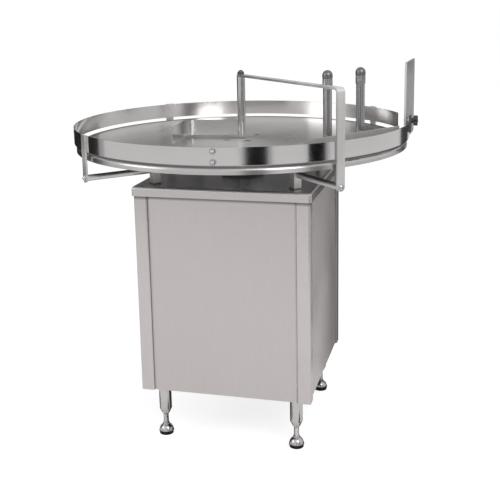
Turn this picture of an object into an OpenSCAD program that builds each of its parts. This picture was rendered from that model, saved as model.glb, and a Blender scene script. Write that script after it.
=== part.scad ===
// Rotary accumulation table. A disc turns inside a fixed guard band, above a sheet metal
// cabinet that stands on four levelling legs and holds the worm gear motor.
// Millimetres, Z up. The origin is on the floor below the disc's axis, the front is at -Y.

/* [Turntable] */
// Diameter of the turning disc
disc_d = 1000; // [920:10:1100]
// Height of the disc's top face above the floor
work_h = 900; // [870:5:960]
// Sheet thickness of the disc
disc_t = 3; // [2:0.5:4]
// Bend radius of the disc's turned-down edge
rim_bend = 9; // [6:0.5:12]
// Depth of the turned-down edge below the top face
rim_h = 18; // [14:1:24]

/* [Guard band] */
// Height of the band that keeps the containers on the disc
band_h = 46.5; // [44:0.5:70]
// Thickness of the band
band_t = 3; // [2:0.5:4]
// Gap between the disc's top face and the band's lower edge
band_gap = 8; // [5:0.5:14]
// Radial gap between the disc's edge and the band's inner face
band_play = 3; // [2:0.5:8]
// Width of the upright bars that carry the band
bar_w = 25; // [22:1:36]
// Thickness of the upright bars
bar_t = 6; // [5:0.5:8]
// Diameter of the rods between the lid and the bars
rod_d = 18; // [14:1:22]
// Height of the rods' axis above the lid
rod_rise = 41; // [32:1:50]
// Width of the square blocks that hold the rods on the lid
block_w = 24; // [22:1:36]
// Distance of the blocks from the disc's axis
block_at = 296; // [270:1:315]
// Height of the overhead bar above the band's top edge
overhead_rise = 138.5; // [110:0.5:180]
// Bend radius inside the overhead bar's corner
overhead_bend = 6; // [4:0.5:20]

/* [Guides over the disc] */
// Thickness of the guide strips
strip_t = 2.5; // [2:0.5:3]
// How far the lane guide stands inside the band at its middle
lane_inset = 77; // [60:1:110]
// Direction of the lane guide's straight run, from the X axis
lane_heading = 53.13; // [45:0.01:60]
// Direction of the short run that leaves the band
jog_heading = 80; // [74:1:88]
// Place on the band where the lane guide leaves it
lane_leave = -60.5; // [-64:0.5:-56]
// Place on the band of the lane guide's bolts
lane_bolts_at = -83.5; // [-86:0.5:-76]
// Length of the lane guide's straight run
lane_len = 330; // [300:1:335]
// Bend radius of the guide strips
strip_bend = 40; // [25:1:60]
// Diameter of the two round guide posts
post_d = 24; // [20:1:26]
// Height of the posts' caps and of the outlet plate above the band
tall_rise = 175.5; // [150:0.5:220]
// Gap between the first post's cap and the overhead bar
post_clear = 0.5; // [0.4:0.1:15]
// Distance between the two posts
post_pitch = 124.5; // [100:0.5:160]
// Diameter of the knurled post caps
cap_d = 28; // [25:0.5:34]
// Height of the knurled post caps
cap_h = 46; // [34:1:50]
// Diameter of the post over the disc's centre
centre_post_d = 25; // [20:1:32]
// Direction of the deflector's first run
deflector_heading = 187; // [170:1:200]
// Length of the deflector's first run from the axis
deflector_run = 137; // [110:1:180]
// Turn of the deflector's bend
deflector_turn = 88; // [60:1:100]
// Length of the deflector's second run
deflector_tail = 132; // [100:1:160]

/* [Outlet] */
// Place on the band where its front part ends, at the outlet
outlet_start = 3; // [1:0.5:3.5]
// Place on the band where its rear part begins again, past the outlet
outlet_end = 26; // [22:1:32]
// Direction that the outlet's guide plate faces
gate_at = -2.5; // [-3:0.5:-2]
// Distance of the guide plate's outer face inside the band
gate_inset = 3; // [2.5:0.5:6]
// Length of the guide plate
gate_len = 190; // [160:1:220]
// Thickness of the guide plate
gate_t = 6; // [4:0.5:8]
// How far the guide plate reaches in front of its tangent point
gate_fore = 6; // [4:1:12]
// Place on the band of the clamp that holds the guide plate
clamp_at = 1; // [0:0.25:1.25]
// Diameter of the star knob
knob_d = 30; // [26:1:40]

/* [Cabinet] */
// Width and depth of the cabinet over its corner posts
cab_w = 520; // [500:5:560]
// Height of the cabinet's lower edge above the floor
cab_bottom = 163; // [155:1:180]
// Distance from the disc's top face down to the lid
lid_drop = 108; // [100:1:120]
// How far the lid stands out past the corner posts
lid_over = 5; // [3:0.5:12]
// Height of the lid's folded lip
lid_lip = 28; // [24:1:40]
// Rounding of the lid's edges
lid_round = 8; // [5:0.5:10]
// Thickness of the cabinet's sheet metal
sheet_t = 2; // [1.5:0.5:3]
// Width of the square corner posts
corner_w = 40; // [36:1:50]
// Rounding of the corner posts' edges
corner_round = 5; // [3:0.5:8]
// How far the panels sit back from the posts' faces
panel_recess = 6; // [3:0.5:10]
// Depth of the panels' folded edges
panel_depth = 15; // [12:1:20]
// Gap between a panel and what is beside it
panel_gap = 2; // [1:0.5:4]
// Size of the square frame rails
rail_w = 30; // [26:1:34]

/* [Legs] */
// Distance of each leg's axis from the cabinet's outer faces
leg_inset = 54; // [53:1:70]
// Outer diameter of the leg sleeves
leg_d = 38; // [34:1:44]
// Height of the sleeves' lower ends above the floor
sleeve_z = 67; // [64:1:72]
// Height of the cone at the sleeves' lower ends
sleeve_cone = 16; // [10:1:24]
// Diameter of the levelling stems
stem_d = 16; // [12:1:20]
// Diameter of the feet
foot_d = 44; // [38:1:60]
// Height of the rubber pads
pad_h = 10; // [6:1:14]
// Height of the domes above the pads
dome_h = 22; // [16:1:22]

/* [Drive] */
// Diameter of the drive shaft
shaft_d = 30; // [25:1:34]
// Distance between the worm's axis and the wheel's axis
worm_offset = 57; // [55:0.5:60]
// Teeth on the worm wheel
wheel_teeth = 60; // [40:1:70]
// Outer diameter of the motor's body
motor_d = 110; // [96:1:120]
// Length of the motor's finned body
motor_len = 112; // [90:1:118]
// Number of cooling fins on the motor
motor_fins = 24; // [12:2:36]
// Height of the control box on the rear panel
control_h = 110; // [90:1:140]
// Distance of the control box's middle from the rear panel's edge
control_side = 108; // [60:1:300]
// Distance of the control box's middle below the panel's top
control_drop = 150; // [90:1:300]

/* [Hidden] */
$fn = 96;

// running fit between a turning piece and its bearing, on the radius
run_fit = 0.06;
// gap between pieces of different bodies that face each other
face_gap = 0.3;
// how far a cutting shape reaches past the face it cuts
past = 1;

// heights
lid_z = work_h - lid_drop;
rail_top = lid_z - sheet_t;
post_top = lid_z - lid_round;
rod_z = lid_z + rod_rise;
band_z = work_h + band_gap;
band_top = band_z + band_h;
overhead_z = band_top + overhead_rise;
tall_z = band_top + tall_rise;

// radii of the band and places of the bars
band_ri = disc_d / 2 + band_play;
band_ro = band_ri + band_t;
bar_out = band_ro + bar_t;
short_bar_angles = [-135, 45, 135];
long_bar_angle = -45;
bar_angles = [-135, 45, 135, long_bar_angle];
bar_proud = 1.5;
band_seam = -135;
band_joint = 0.025;

// cabinet planes, measured from the middle
cab = cab_w / 2;
lid_half = cab + lid_over;
post_in = cab - corner_w;
panel_face = cab - panel_recess;
rail_out = panel_face - panel_depth;
rail_in = rail_out - rail_w;
panel_w = 2 * (post_in - panel_gap);
panel_h = post_top - cab_bottom;
panel_bend = 3;
plate_t = 8;
leg_at = cab - leg_inset;
plate_edge = 20;
plate_in = leg_at - leg_d / 2 - plate_edge;
low_rail_z = cab_bottom + plate_t;
rail_joint = 0.1;
clip_w = 30;
clip_at = 120;
clip_drop = 15;

// countersunk screws of the guard band
screw_head = 4.8;
screw_cone = 2.6;
screw_r = 2.5;
screw_short = 0.8;
screw_len = band_t + bar_t - screw_short;
screw_side = 6.5;
screw_edge = 11;
screw_sink = 0.1;

// bolts of the lane guide
lane_screw_head = 6;
lane_screw_cone = 3;
lane_screw_r = 3;
washer_r = 9;
washer_t = 1.6;
lane_nut_r = 6.4;
lane_nut_h = 5;
lane_screw_len = strip_t + band_t + washer_t + lane_nut_h;
lane_low = 8;
lane_high = 10;
// crown of a cap nut, as shares of its hexagon
crown_base = 0.8;
crown_rise = 0.6;

// bolts at the lower ends of the bars
rod_bolt_r = 4;
rod_bolt_head = 7.5;
rod_bolt_rise = 4.5;
rod_bolt_grip = 24;
block_roof = 6;

// lane guide in plan, as a chain of points
strip_mid = band_ri - strip_t / 2;
leave_p = strip_mid * [cos(lane_leave), sin(lane_leave)];
leave_heading = lane_leave + 90;
jog_turn = jog_heading - leave_heading;
back_turn = jog_heading - lane_heading;
jog_p = leave_p + left_step(leave_heading, jog_turn, strip_bend);
lane_normal = [sin(lane_heading), -cos(lane_heading)];
jog_dir = [cos(jog_heading), sin(jog_heading)];
lane_at = band_ri - lane_inset;
back_step = right_step(jog_heading, back_turn, strip_bend);
jog_len = ((jog_p + back_step) * lane_normal - lane_at) / -(jog_dir * lane_normal);
back_p = jog_p + jog_len * jog_dir;
lane_p = back_p + back_step;
lane_dir = [cos(lane_heading), sin(lane_heading)];
tab_past = 2;
// a strip's runs reach this far into its bends, and are this much thinner on each face
lap = 0.5;
skin = 0.05;
tab_lap = 0.05;

// guide posts and caps
post_off = strip_t / 2 + post_d / 2;
post_line_p = lane_p - post_off * lane_normal;
overhead_normal = [-sin(long_bar_angle), cos(long_bar_angle)];
overhead_off = bar_w / 2 + cap_d / 2 + post_clear;
post_1_at = (overhead_off - post_line_p * overhead_normal) / (lane_dir * overhead_normal);
post_1_p = post_line_p + post_1_at * lane_dir;
post_2_p = post_1_p + post_pitch * lane_dir;
shoulder_z = tall_z - cap_h;
stud_r = post_d / 3;
cap_roof = 9;
knurls = 20;
knurl_r = 1.2;
knurl_h = cap_h / 2;

// deflector in plan
bend_start = deflector_run * [cos(deflector_heading), sin(deflector_heading)];
bend_end = bend_start + left_step(deflector_heading, deflector_turn, strip_bend);
tail_heading = deflector_heading + deflector_turn;
centre_stud_r = 5;
nut_r = 10.5;
nut_h = 7;

// outlet plate and its clamp
gate_out = band_ri - gate_inset;
gate_in = gate_out - gate_t;
gate_mid = gate_out - gate_t / 2;
clamp_tilt = clamp_at - gate_at;
slot_y = gate_mid * tan(clamp_tilt);
clamp_w = 26;
clamp_below = 28;
clamp_above = 21;
clamp_bolt_r = 4;
clamp_bolt_rise = 1.5;
clamp_bolt_z = band_top + clamp_bolt_r + clamp_bolt_rise;
clamp_screw_drop = 17;
clamp_screw_z = band_top - clamp_screw_drop;
clamp_screw_side = 6;
slot_play = 0.3;
slot_fore = 24;
slot_back = 26;
clamp_head_r = 9;
clamp_head_x = gate_in / cos(clamp_tilt) - clamp_head_r * sin(clamp_tilt) - face_gap;
knob_boss = 6;
knob_star = 12;
knob_core = 0.93;
knob_lobe = knob_d / 7;
knob_stick = 20;

// legs
stem_spare = 23;
stem_top = cab_bottom - stem_spare;
sleeve_wall = 3;
sleeve_neck = stem_d / 2 + sleeve_wall;
pad_over = 1;
dome_r = (foot_d * foot_d / 4 + dome_h * dome_h) / (2 * dome_h);
dome_collar = 2;
dome_neck = stem_d / 2 + dome_collar;
neck_rise = 3;

// drive line
drive_plate_t = 12;
drive_plate_y = 95;
flange_r = 65;
flange_h = 12;
flange_boss_r = 32;
flange_boss_h = 18;
flange_draft = 4;
flange_bolts_r = 50;
bolt_r = 5;
bolt_head_r = 9;
bolt_head_h = 6.5;
bolt_grip = 10;
shaft_r = shaft_d / 2;
shaft_room = 3;
shaft_hole = shaft_r + shaft_room;
case_top = rail_top - drive_plate_t;
case_flange = 78;
case_flange_t = 12;
case_bolts = 66;
motor_flange_r = 62;
motor_drop = 1.5;
wheel_rise = 44;
wheel_z = case_top - case_flange_t - bolt_head_h - motor_drop - motor_flange_r;
case_z = wheel_z - wheel_rise;
case_side = 56;
worm_shell = 30;
case_worm_side = worm_offset + worm_shell;
chamber_r = 46;
chamber_h = 72;
journal_wall = 9;
journal_r = shaft_r + journal_wall;
journal_h = 18;
journal_end = 1;
cover_t = 8;
cover_r = 54;
mesh_room = 17;
wheel_r = worm_offset - mesh_room;
wheel_half = 13;
tooth_depth = 3;
worm_r = 15.8;
worm_chamber = 20;
worm_journal = 10;
worm_wall = 12;
worm_pitch = 5;
motor_y = case_side;
motor_flange_t = 10;
fin_h = 7;
motor_core = motor_d / 2 - fin_h;
rotor_r = 30;
rotor_gap = 1;
motor_end = motor_y + motor_flange_t + motor_len;
motor_wall = 10;
motor_shaft_r = 7;
fin_t = 2.5;
fin_root = 2;
cowl_t = 1.5;
cowl_len = 30;
cowl_lap = 8;
fan_room = 12;
fan_r = motor_d / 2 - fan_room;
fan_off = 8;
fan_y = motor_end + fan_off;
fan_w = 12;
fan_blades = 7;
fan_boss_wall = 5;
fan_boss_r = motor_shaft_r + fan_boss_wall;
fan_sheet = 2;
pad_rise = 2;
pad_x = motor_d / 2 + pad_rise;
pad_half_z = 28;
pad_off = 20;
pad_y0 = motor_y + motor_flange_t + pad_off;
pad_len = 66;
terminal_h = 34;

// hub below the disc
hub_r = 90;
hub_t = 10;
hub_boss_r = 32;
hub_boss_h = 35;
hub_screw_at = 65;
hub_screw_head = 8;
hub_screw_cone = 4;
hub_screw_r = 4;
hub_screw_short = 2;
hub_screw_len = disc_t + hub_t - hub_screw_short;
hub_z = work_h - disc_t - hub_t;

// controls on the rear panel
control_x = control_side - panel_w / 2;
control_w = 90;
control_d = 52;
control_z = post_top - control_drop;
control_wall = 3;
control_round = 6;
dial_r = 17;
dial_h = 15;
dial_draft = 2;
mark_w = 2;
mark_deep = 1;
switch_r = 20;
switch_h = 8;
grip_h = 12;
grip_t = 8;
grip_in = 2;
spindle_r = 3;
spindle_in = 12;
switch_up = 26;
dial_down = 24;
gland_r = 9;
gland_nut_r = 10.8;
gland_h = 18;

// step of a strip that turns left or right from a heading, in plan
function left_step(heading, turn, r) =
  r * [sin(heading + turn) - sin(heading), cos(heading) - cos(heading + turn)];
function right_step(heading, turn, r) =
  r * [sin(heading) - sin(heading - turn), cos(heading - turn) - cos(heading)];

// rectangle with round corners, centred
module round_rect(w, d, r) {
  square([w - 2 * r, d], center = true);
  square([w, d - 2 * r], center = true);
  for (sx = [-1, 1], sy = [-1, 1])
    translate([sx * (w / 2 - r), sy * (d / 2 - r)]) circle(r = r);
}

// block with round upright edges and round top edges, standing on z = 0
module round_top(w, d, h, r) {
  linear_extrude(h - r) round_rect(w, d, r);
  translate([0, 0, h / 2]) cube([w - 2 * r, d - 2 * r, h], center = true);
  for (s = [-1, 1]) {
    translate([0, s * (d / 2 - r), h - r]) rotate([0, 90, 0])
      cylinder(h = w - 2 * r, r = r, center = true);
    translate([s * (w / 2 - r), 0, h - r]) rotate([90, 0, 0])
      cylinder(h = d - 2 * r, r = r, center = true);
  }
  for (sx = [-1, 1], sy = [-1, 1])
    translate([sx * (w / 2 - r), sy * (d / 2 - r), h - r]) sphere(r = r);
}

// square tube along X, centred in X, lying on y = 0 and z = 0
module rail(len) {
  difference() {
    translate([-len / 2, 0, 0]) cube([len, rail_w, rail_w]);
    translate([-len / 2 - past, sheet_t, sheet_t])
      cube([len + 2 * past, rail_w - 2 * sheet_t, rail_w - 2 * sheet_t]);
  }
}

// four rails of one frame, the side rails running through
module rail_frame(z) {
  for (a = [0, 180]) {
    rotate([0, 0, a]) translate([0, -rail_out, z]) rail(2 * (rail_in - rail_joint));
    rotate([0, 0, a + 90]) translate([0, -rail_out, z]) rail(2 * post_in);
  }
}

// a sheet metal panel with folded edges, outer face on y = 0, standing on z = 0
module panel_sheet() {
  difference() {
    linear_extrude(panel_h) panel_outline();
    translate([-panel_w / 2 + sheet_t, sheet_t, sheet_t])
      cube([panel_w - 2 * sheet_t, panel_depth, panel_h - 2 * sheet_t]);
  }
}

module panel_outline() {
  translate([-panel_w / 2, panel_bend]) square([panel_w, panel_depth - panel_bend]);
  translate([-panel_w / 2 + panel_bend, 0]) square([panel_w - 2 * panel_bend, panel_bend]);
  for (s = [-1, 1]) translate([s * (panel_w / 2 - panel_bend), panel_bend]) circle(r = panel_bend);
}

module panel_on(side) {
  rotate([0, 0, side]) translate([0, -panel_face, cab_bottom]) panel_sheet();
}

// round bar along +X from x = 0
module bar_x(len, r) {
  rotate([0, 90, 0]) cylinder(h = len, r = r);
}

// countersunk screw along +X, its flat head on x = 0
module flat_screw(head, cone, r, len) {
  rotate([0, 90, 0]) rotate_extrude()
    polygon([[0, 0], [head, 0], [r, cone], [r, len], [0, len]]);
}

// cap of a ball along +X with its base on x = 0
module dome_x(base, rise) {
  ball = (base * base + rise * rise) / (2 * rise);
  intersection() {
    translate([rise - ball, 0, 0]) rotate([0, 90, 0]) sphere(r = ball);
    bar_x(rise + past, base + past);
  }
}

module band_screw() {
  flat_screw(screw_head, screw_cone, screw_r, screw_len);
}

// the four screws between the band and one bar
module bar_screws(angle) {
  rotate([0, 0, angle])
    for (side = [-1, 1], z = [band_z + screw_edge, band_top - screw_edge])
      translate([band_ri + screw_sink, side * screw_side, z]) band_screw();
}

module clamp_screws() {
  rotate([0, 0, clamp_at])
    for (side = [-1, 1])
      translate([band_ri + screw_sink, side * clamp_screw_side, clamp_screw_z]) band_screw();
}

// the two screws between the lane guide and one post
module post_screws(p) {
  translate([p[0], p[1], 0]) rotate([0, 0, lane_heading + 90])
    for (z = [band_z + screw_edge, band_top - screw_edge])
      translate([-post_off - strip_t / 2 + screw_sink, 0, z]) band_screw();
}

module lane_bolts() {
  rotate([0, 0, lane_bolts_at])
    for (z = [band_z + lane_low, band_top - lane_high])
      translate([band_ri - strip_t + screw_sink, 0, z])
        flat_screw(lane_screw_head, lane_screw_cone, lane_screw_r, lane_screw_len);
}

module rod_bolt_shanks() {
  for (a = bar_angles) rotate([0, 0, a])
    translate([bar_out - rod_bolt_grip, 0, rod_z]) bar_x(rod_bolt_grip, rod_bolt_r);
}

// part of the guard band from one angle over a sweep
module band_arc(start, sweep) {
  difference() {
    rotate([0, 0, start]) rotate_extrude(angle = sweep)
      translate([band_ri, band_z]) square([band_t, band_h]);
    for (a = bar_angles) bar_screws(a);
    clamp_screws();
    lane_bolts();
  }
}

// upright flat bar with a round lower end, on the band's outer face
module upright(top) {
  translate([band_ro, -bar_w / 2, rod_z]) cube([bar_t, bar_w, top - rod_z]);
  translate([band_ro, 0, rod_z]) bar_x(bar_t, bar_w / 2);
}

// pieces of a guide strip in plan, band height
module strip_straight(p, heading, len, lap_end) {
  run_t = strip_t - 2 * skin;
  translate([p[0], p[1], band_z]) rotate([0, 0, heading])
    translate([-lap, -run_t / 2, 0]) cube([len + lap + lap_end, run_t, band_h]);
}

module strip_left(p, heading, turn, r) {
  translate([p[0] - r * sin(heading), p[1] + r * cos(heading), band_z])
    rotate([0, 0, heading - 90]) strip_bow(turn, r);
}

module strip_right(p, heading, turn, r) {
  translate([p[0] + r * sin(heading), p[1] - r * cos(heading), band_z])
    rotate([0, 0, heading + 90 - turn]) strip_bow(turn, r);
}

module strip_bow(turn, r) {
  rotate_extrude(angle = turn) translate([r - strip_t / 2, 0]) square([strip_t, band_h]);
}

// a hexagon bolt hanging down from its head's underside at z = 0
module hex_bolt(len) {
  cylinder(h = bolt_head_h, r = bolt_head_r, $fn = 6);
  translate([0, 0, -len]) cylinder(h = len + past, r = bolt_r);
}

module bolt_square(at) {
  for (sx = [-1, 1], sy = [-1, 1]) translate([sx * at, sy * at, 0]) children();
}

module bearing_bolt_holes() {
  for (a = [45 : 90 : 315]) rotate([0, 0, a])
    translate([flange_bolts_r, 0, lid_z + flange_h]) hex_bolt(flange_h + sheet_t + bolt_grip);
}

module case_bolt_holes() {
  bolt_square(case_bolts) translate([0, 0, case_top - case_flange_t])
    mirror([0, 0, 1]) hex_bolt(case_flange_t + bolt_grip);
}

module corner_posts() {
  color("silver")
    for (sx = [-1, 1], sy = [-1, 1])
      translate([sx * (cab - corner_w / 2), sy * (cab - corner_w / 2), cab_bottom])
        linear_extrude(post_top - cab_bottom) difference() {
          round_rect(corner_w, corner_w, corner_round);
          round_rect(corner_w - 2 * sheet_t, corner_w - 2 * sheet_t, corner_round - sheet_t);
        }
}

module top_rails() {
  color("darkgray") rail_frame(rail_top - rail_w);
}

module bottom_rails() {
  color("darkgray") rail_frame(low_rail_z);
}

module leg_plates() {
  plate = rail_out - plate_in;
  color("darkgray")
    for (a = [0 : 90 : 270]) rotate([0, 0, a])
      difference() {
        translate([plate_in, plate_in, cab_bottom]) cube([plate, plate, plate_t]);
        translate([post_in, post_in, cab_bottom - past])
          cube([plate, plate, plate_t + 2 * past]);
      }
}

module leg_sleeves() {
  color("silver")
    bolt_square(leg_at) difference() {
      rotate_extrude() polygon([[0, sleeve_z], [sleeve_neck, sleeve_z],
        [leg_d / 2, sleeve_z + sleeve_cone], [leg_d / 2, cab_bottom], [0, cab_bottom]]);
      translate([0, 0, sleeve_z - past])
        cylinder(h = cab_bottom - sleeve_z + 2 * past, r = stem_d / 2 + run_fit);
    }
}

module top_cover() {
  lid_in = 2 * lid_half - 2 * sheet_t;
  color("silver") difference() {
    translate([0, 0, lid_z - lid_lip]) round_top(2 * lid_half, 2 * lid_half, lid_lip, lid_round);
    translate([0, 0, lid_z - lid_lip - past])
      round_top(lid_in, lid_in, lid_lip - sheet_t + past, lid_round - sheet_t);
    translate([0, 0, lid_z - lid_lip]) cylinder(h = lid_lip + past, r = shaft_hole);
    bearing_bolt_holes();
  }
}

module front_panel() {
  color("gainsboro") panel_on(0);
}

module right_panel() {
  color("gainsboro") panel_on(90);
}

module rear_panel() {
  color("gainsboro") panel_on(180);
}

module left_panel() {
  color("gainsboro") panel_on(270);
}

// hooks on the panels' backs that hang over the lower rails
module panel_clips() {
  rail_z = low_rail_z + rail_w + face_gap;
  reach = panel_depth - sheet_t + rail_w + face_gap + sheet_t;
  color("darkgray")
    for (a = [0 : 90 : 270], x = [-clip_at, clip_at]) rotate([0, 0, a])
      translate([x - clip_w / 2, -panel_face + sheet_t, rail_z]) {
        cube([clip_w, sheet_t, clip_drop]);
        cube([clip_w, reach, sheet_t]);
        translate([0, reach - sheet_t, -clip_drop]) cube([clip_w, sheet_t, clip_drop + sheet_t]);
      }
}

module drive_plate() {
  color("darkgray") difference() {
    translate([-rail_in, -drive_plate_y, case_top])
      cube([2 * rail_in, 2 * drive_plate_y, drive_plate_t]);
    translate([0, 0, case_top - past]) cylinder(h = drive_plate_t + 2 * past, r = shaft_hole);
    bearing_bolt_holes();
    case_bolt_holes();
  }
}

module shaft_bearing() {
  color("dimgray") difference() {
    translate([0, 0, lid_z]) union() {
      cylinder(h = flange_h, r = flange_r);
      cylinder(h = flange_boss_h, r1 = flange_boss_r + flange_draft, r2 = flange_boss_r);
    }
    translate([0, 0, lid_z - past])
      cylinder(h = flange_boss_h + 2 * past, r = shaft_r + run_fit);
    bearing_bolt_holes();
  }
}

module drive_bolts() {
  color("silver") {
    bearing_bolt_holes();
    case_bolt_holes();
  }
}

module gearbox_case() {
  worm_y = case_side - worm_wall;
  color("slategray") difference() {
    union() {
      translate([-case_flange, -case_flange, case_top - case_flange_t])
        cube([2 * case_flange, 2 * case_flange, case_flange_t]);
      translate([-case_side, -case_side, case_z])
        cube([case_side + case_worm_side, 2 * case_side, case_top - case_z - case_flange_t]);
    }
    translate([0, 0, case_z - past]) cylinder(h = chamber_h + past, r = chamber_r);
    translate([0, 0, case_z]) cylinder(h = chamber_h + journal_h + journal_end, r = journal_r + run_fit);
    translate([0, 0, case_z]) cylinder(h = case_top - case_z + past, r = shaft_hole);
    translate([worm_offset, -worm_y, wheel_z]) rotate([-90, 0, 0])
      cylinder(h = worm_y + case_side + past, r = worm_chamber);
    translate([worm_offset, -case_side - past, wheel_z]) rotate([-90, 0, 0])
      cylinder(h = worm_wall + 2 * past, r = worm_journal + run_fit);
    case_bolt_holes();
  }
}

module gearbox_cover() {
  color("slategray") difference() {
    translate([0, 0, case_z - cover_t]) cylinder(h = cover_t, r = cover_r);
    translate([0, 0, case_z - cover_t - past])
      cylinder(h = cover_t + 2 * past, r = journal_r + run_fit);
  }
}

// things of the motor line, along +Y on the worm's axis
module on_motor_axis() {
  translate([worm_offset, 0, wheel_z]) rotate([-90, 0, 0]) children();
}

module motor_case() {
  color("steelblue") difference() {
    on_motor_axis() {
      translate([0, 0, motor_y]) cylinder(h = motor_flange_t, r = motor_flange_r);
      translate([0, 0, motor_y]) cylinder(h = motor_end - motor_y, r = motor_core);
      for (i = [0 : motor_fins - 1]) rotate([0, 0, i * 360 / motor_fins])
        translate([motor_core - fin_root, -fin_t / 2, motor_y + motor_flange_t / 2])
          cube([motor_d / 2 - motor_core + fin_root, fin_t,
            motor_len + motor_flange_t / 2 - cowl_lap]);
      translate([0, 0, motor_end - cowl_lap]) cylinder(h = cowl_lap, r = motor_d / 2);
      translate([0, -pad_half_z, pad_y0]) cube([pad_x, 2 * pad_half_z, pad_len]);
    }
    on_motor_axis() {
      translate([0, 0, motor_y - past])
        cylinder(h = motor_end - motor_wall - motor_y + past, r = rotor_r + rotor_gap);
      translate([0, 0, motor_y])
        cylinder(h = motor_end - motor_y + past, r = motor_shaft_r + run_fit);
    }
  }
}

module fan_cowl() {
  color("dimgray") on_motor_axis() difference() {
    translate([0, 0, motor_end - cowl_lap])
      cylinder(h = cowl_lap + cowl_len, r = motor_d / 2 + cowl_t);
    translate([0, 0, motor_end - cowl_lap - past])
      cylinder(h = cowl_lap + cowl_len - cowl_t + past, r = motor_d / 2);
    for (ring = [1, 2], i = [0 : 6 * ring - 1]) rotate([0, 0, i * 60 / ring])
      translate([ring * motor_d / 7, 0, motor_end]) cylinder(h = cowl_len + past, r = motor_d / 24);
  }
}

module terminal_box() {
  color("dimgray")
    translate([worm_offset + pad_x, pad_y0, wheel_z - pad_half_z])
      cube([terminal_h, pad_len, 2 * pad_half_z]);
}

module control_box() {
  color("gray") difference() {
    translate([control_x, panel_face, control_z]) rotate([-90, 0, 0])
      linear_extrude(control_d) round_rect(control_w, control_h, control_round);
    translate([control_x, panel_face - past, control_z]) rotate([-90, 0, 0])
      linear_extrude(control_d - control_wall + past)
        round_rect(control_w - 2 * control_wall, control_h - 2 * control_wall,
          control_round - control_wall);
    for (z = [switch_up, -dial_down])
      translate([control_x, panel_face, control_z + z]) rotate([-90, 0, 0])
        cylinder(h = control_d + past, r = spindle_r + run_fit);
  }
}

module cable_gland() {
  color("black")
    translate([control_x, panel_face + control_d / 2, control_z - control_h / 2])
      mirror([0, 0, 1]) {
        cylinder(h = gland_h / 2, r = gland_nut_r, $fn = 6);
        cylinder(h = gland_h, r = gland_r);
      }
}

module power_switch() {
  color("black")
    translate([control_x, panel_face + control_d + face_gap, control_z + switch_up])
      rotate([-90, 0, 0]) {
        cylinder(h = switch_h, r = switch_r);
        translate([-grip_t / 2, grip_in - switch_r, 0])
          cube([grip_t, 2 * (switch_r - grip_in), switch_h + grip_h]);
        translate([0, 0, -spindle_in]) cylinder(h = spindle_in + past, r = spindle_r);
      }
}

module speed_dial() {
  color("black")
    translate([control_x, panel_face + control_d + face_gap, control_z - dial_down])
      rotate([-90, 0, 0]) difference() {
        union() {
          cylinder(h = dial_h, r1 = dial_r, r2 = dial_r - dial_draft);
          translate([0, 0, -spindle_in]) cylinder(h = spindle_in + past, r = spindle_r);
        }
        translate([-mark_w / 2, -dial_r - past, dial_h - mark_deep])
          cube([mark_w, dial_r, mark_deep + past]);
      }
}

// square blocks on the lid, each bored for its rod
module rod_blocks() {
  block_h = rod_rise + rod_d / 2 + block_roof;
  color("silver")
    for (a = bar_angles) rotate([0, 0, a]) difference() {
      translate([block_at - block_w / 2, -block_w / 2, lid_z]) cube([block_w, block_w, block_h]);
      translate([block_at - block_w / 2 - past, 0, rod_z]) bar_x(block_w + 2 * past, rod_d / 2);
    }
}

module support_rods() {
  rod_in = block_at - block_w / 2;
  color("silver") difference() {
    for (a = bar_angles) rotate([0, 0, a])
      translate([rod_in, 0, rod_z]) bar_x(band_ro - rod_in, rod_d / 2);
    rod_bolt_shanks();
  }
}

module rod_bolts() {
  color("silver") {
    rod_bolt_shanks();
    for (a = bar_angles) rotate([0, 0, a]) translate([bar_out, 0, rod_z]) {
      bar_x(washer_t, washer_r);
      translate([washer_t, 0, 0]) dome_x(rod_bolt_head, rod_bolt_rise);
    }
  }
}

module band_bars() {
  color("silver") difference() {
    for (a = short_bar_angles) rotate([0, 0, a]) upright(band_top + bar_proud);
    for (a = short_bar_angles) bar_screws(a);
    rod_bolt_shanks();
  }
}

// one bar that rises from its rod past the band, bends, and reaches the disc's axis
module overhead_bar() {
  bend_out = overhead_bend + bar_t;
  corner_x = bar_out - bend_out;
  corner_z = overhead_z - bend_out;
  color("silver") difference() {
    rotate([0, 0, long_bar_angle]) {
      upright(corner_z);
      translate([corner_x, bar_w / 2, corner_z]) rotate([90, 0, 0])
        rotate_extrude(angle = 90) translate([overhead_bend, 0]) square([bar_t, bar_w]);
      translate([0, -bar_w / 2, overhead_z - bar_t]) cube([corner_x, bar_w, bar_t]);
      translate([0, 0, overhead_z - bar_t]) cylinder(h = bar_t, r = bar_w / 2);
    }
    bar_screws(long_bar_angle);
    rod_bolt_shanks();
    translate([0, 0, overhead_z - bar_t - past])
      cylinder(h = bar_t + 2 * past, r = centre_stud_r + run_fit);
  }
}

module band_front() {
  color("lightgray") band_arc(band_seam + band_joint, outlet_start - band_seam - band_joint);
}

module band_rear() {
  color("lightgray") band_arc(outlet_end, 360 + band_seam - band_joint - outlet_end);
}

module flat_screws() {
  color("silver") {
    for (a = bar_angles) bar_screws(a);
    clamp_screws();
    post_screws(post_1_p);
    post_screws(post_2_p);
  }
}

// strip that starts flat on the band, steps inwards and runs straight to the outlet plate
module lane_guide() {
  tab_start = lane_bolts_at - tab_past;
  color("lightgray") difference() {
    union() {
      rotate([0, 0, tab_start]) rotate_extrude(angle = lane_leave + tab_lap - tab_start)
        translate([band_ri - strip_t + skin, band_z]) square([strip_t - 2 * skin, band_h]);
      strip_left(leave_p, leave_heading, jog_turn, strip_bend);
      strip_straight(jog_p, jog_heading, jog_len, lap);
      strip_right(back_p, jog_heading, back_turn, strip_bend);
      strip_straight(lane_p, lane_heading, lane_len, 0);
    }
    lane_bolts();
    post_screws(post_1_p);
    post_screws(post_2_p);
  }
}

module lane_screws() {
  color("silver") lane_bolts();
}

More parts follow.
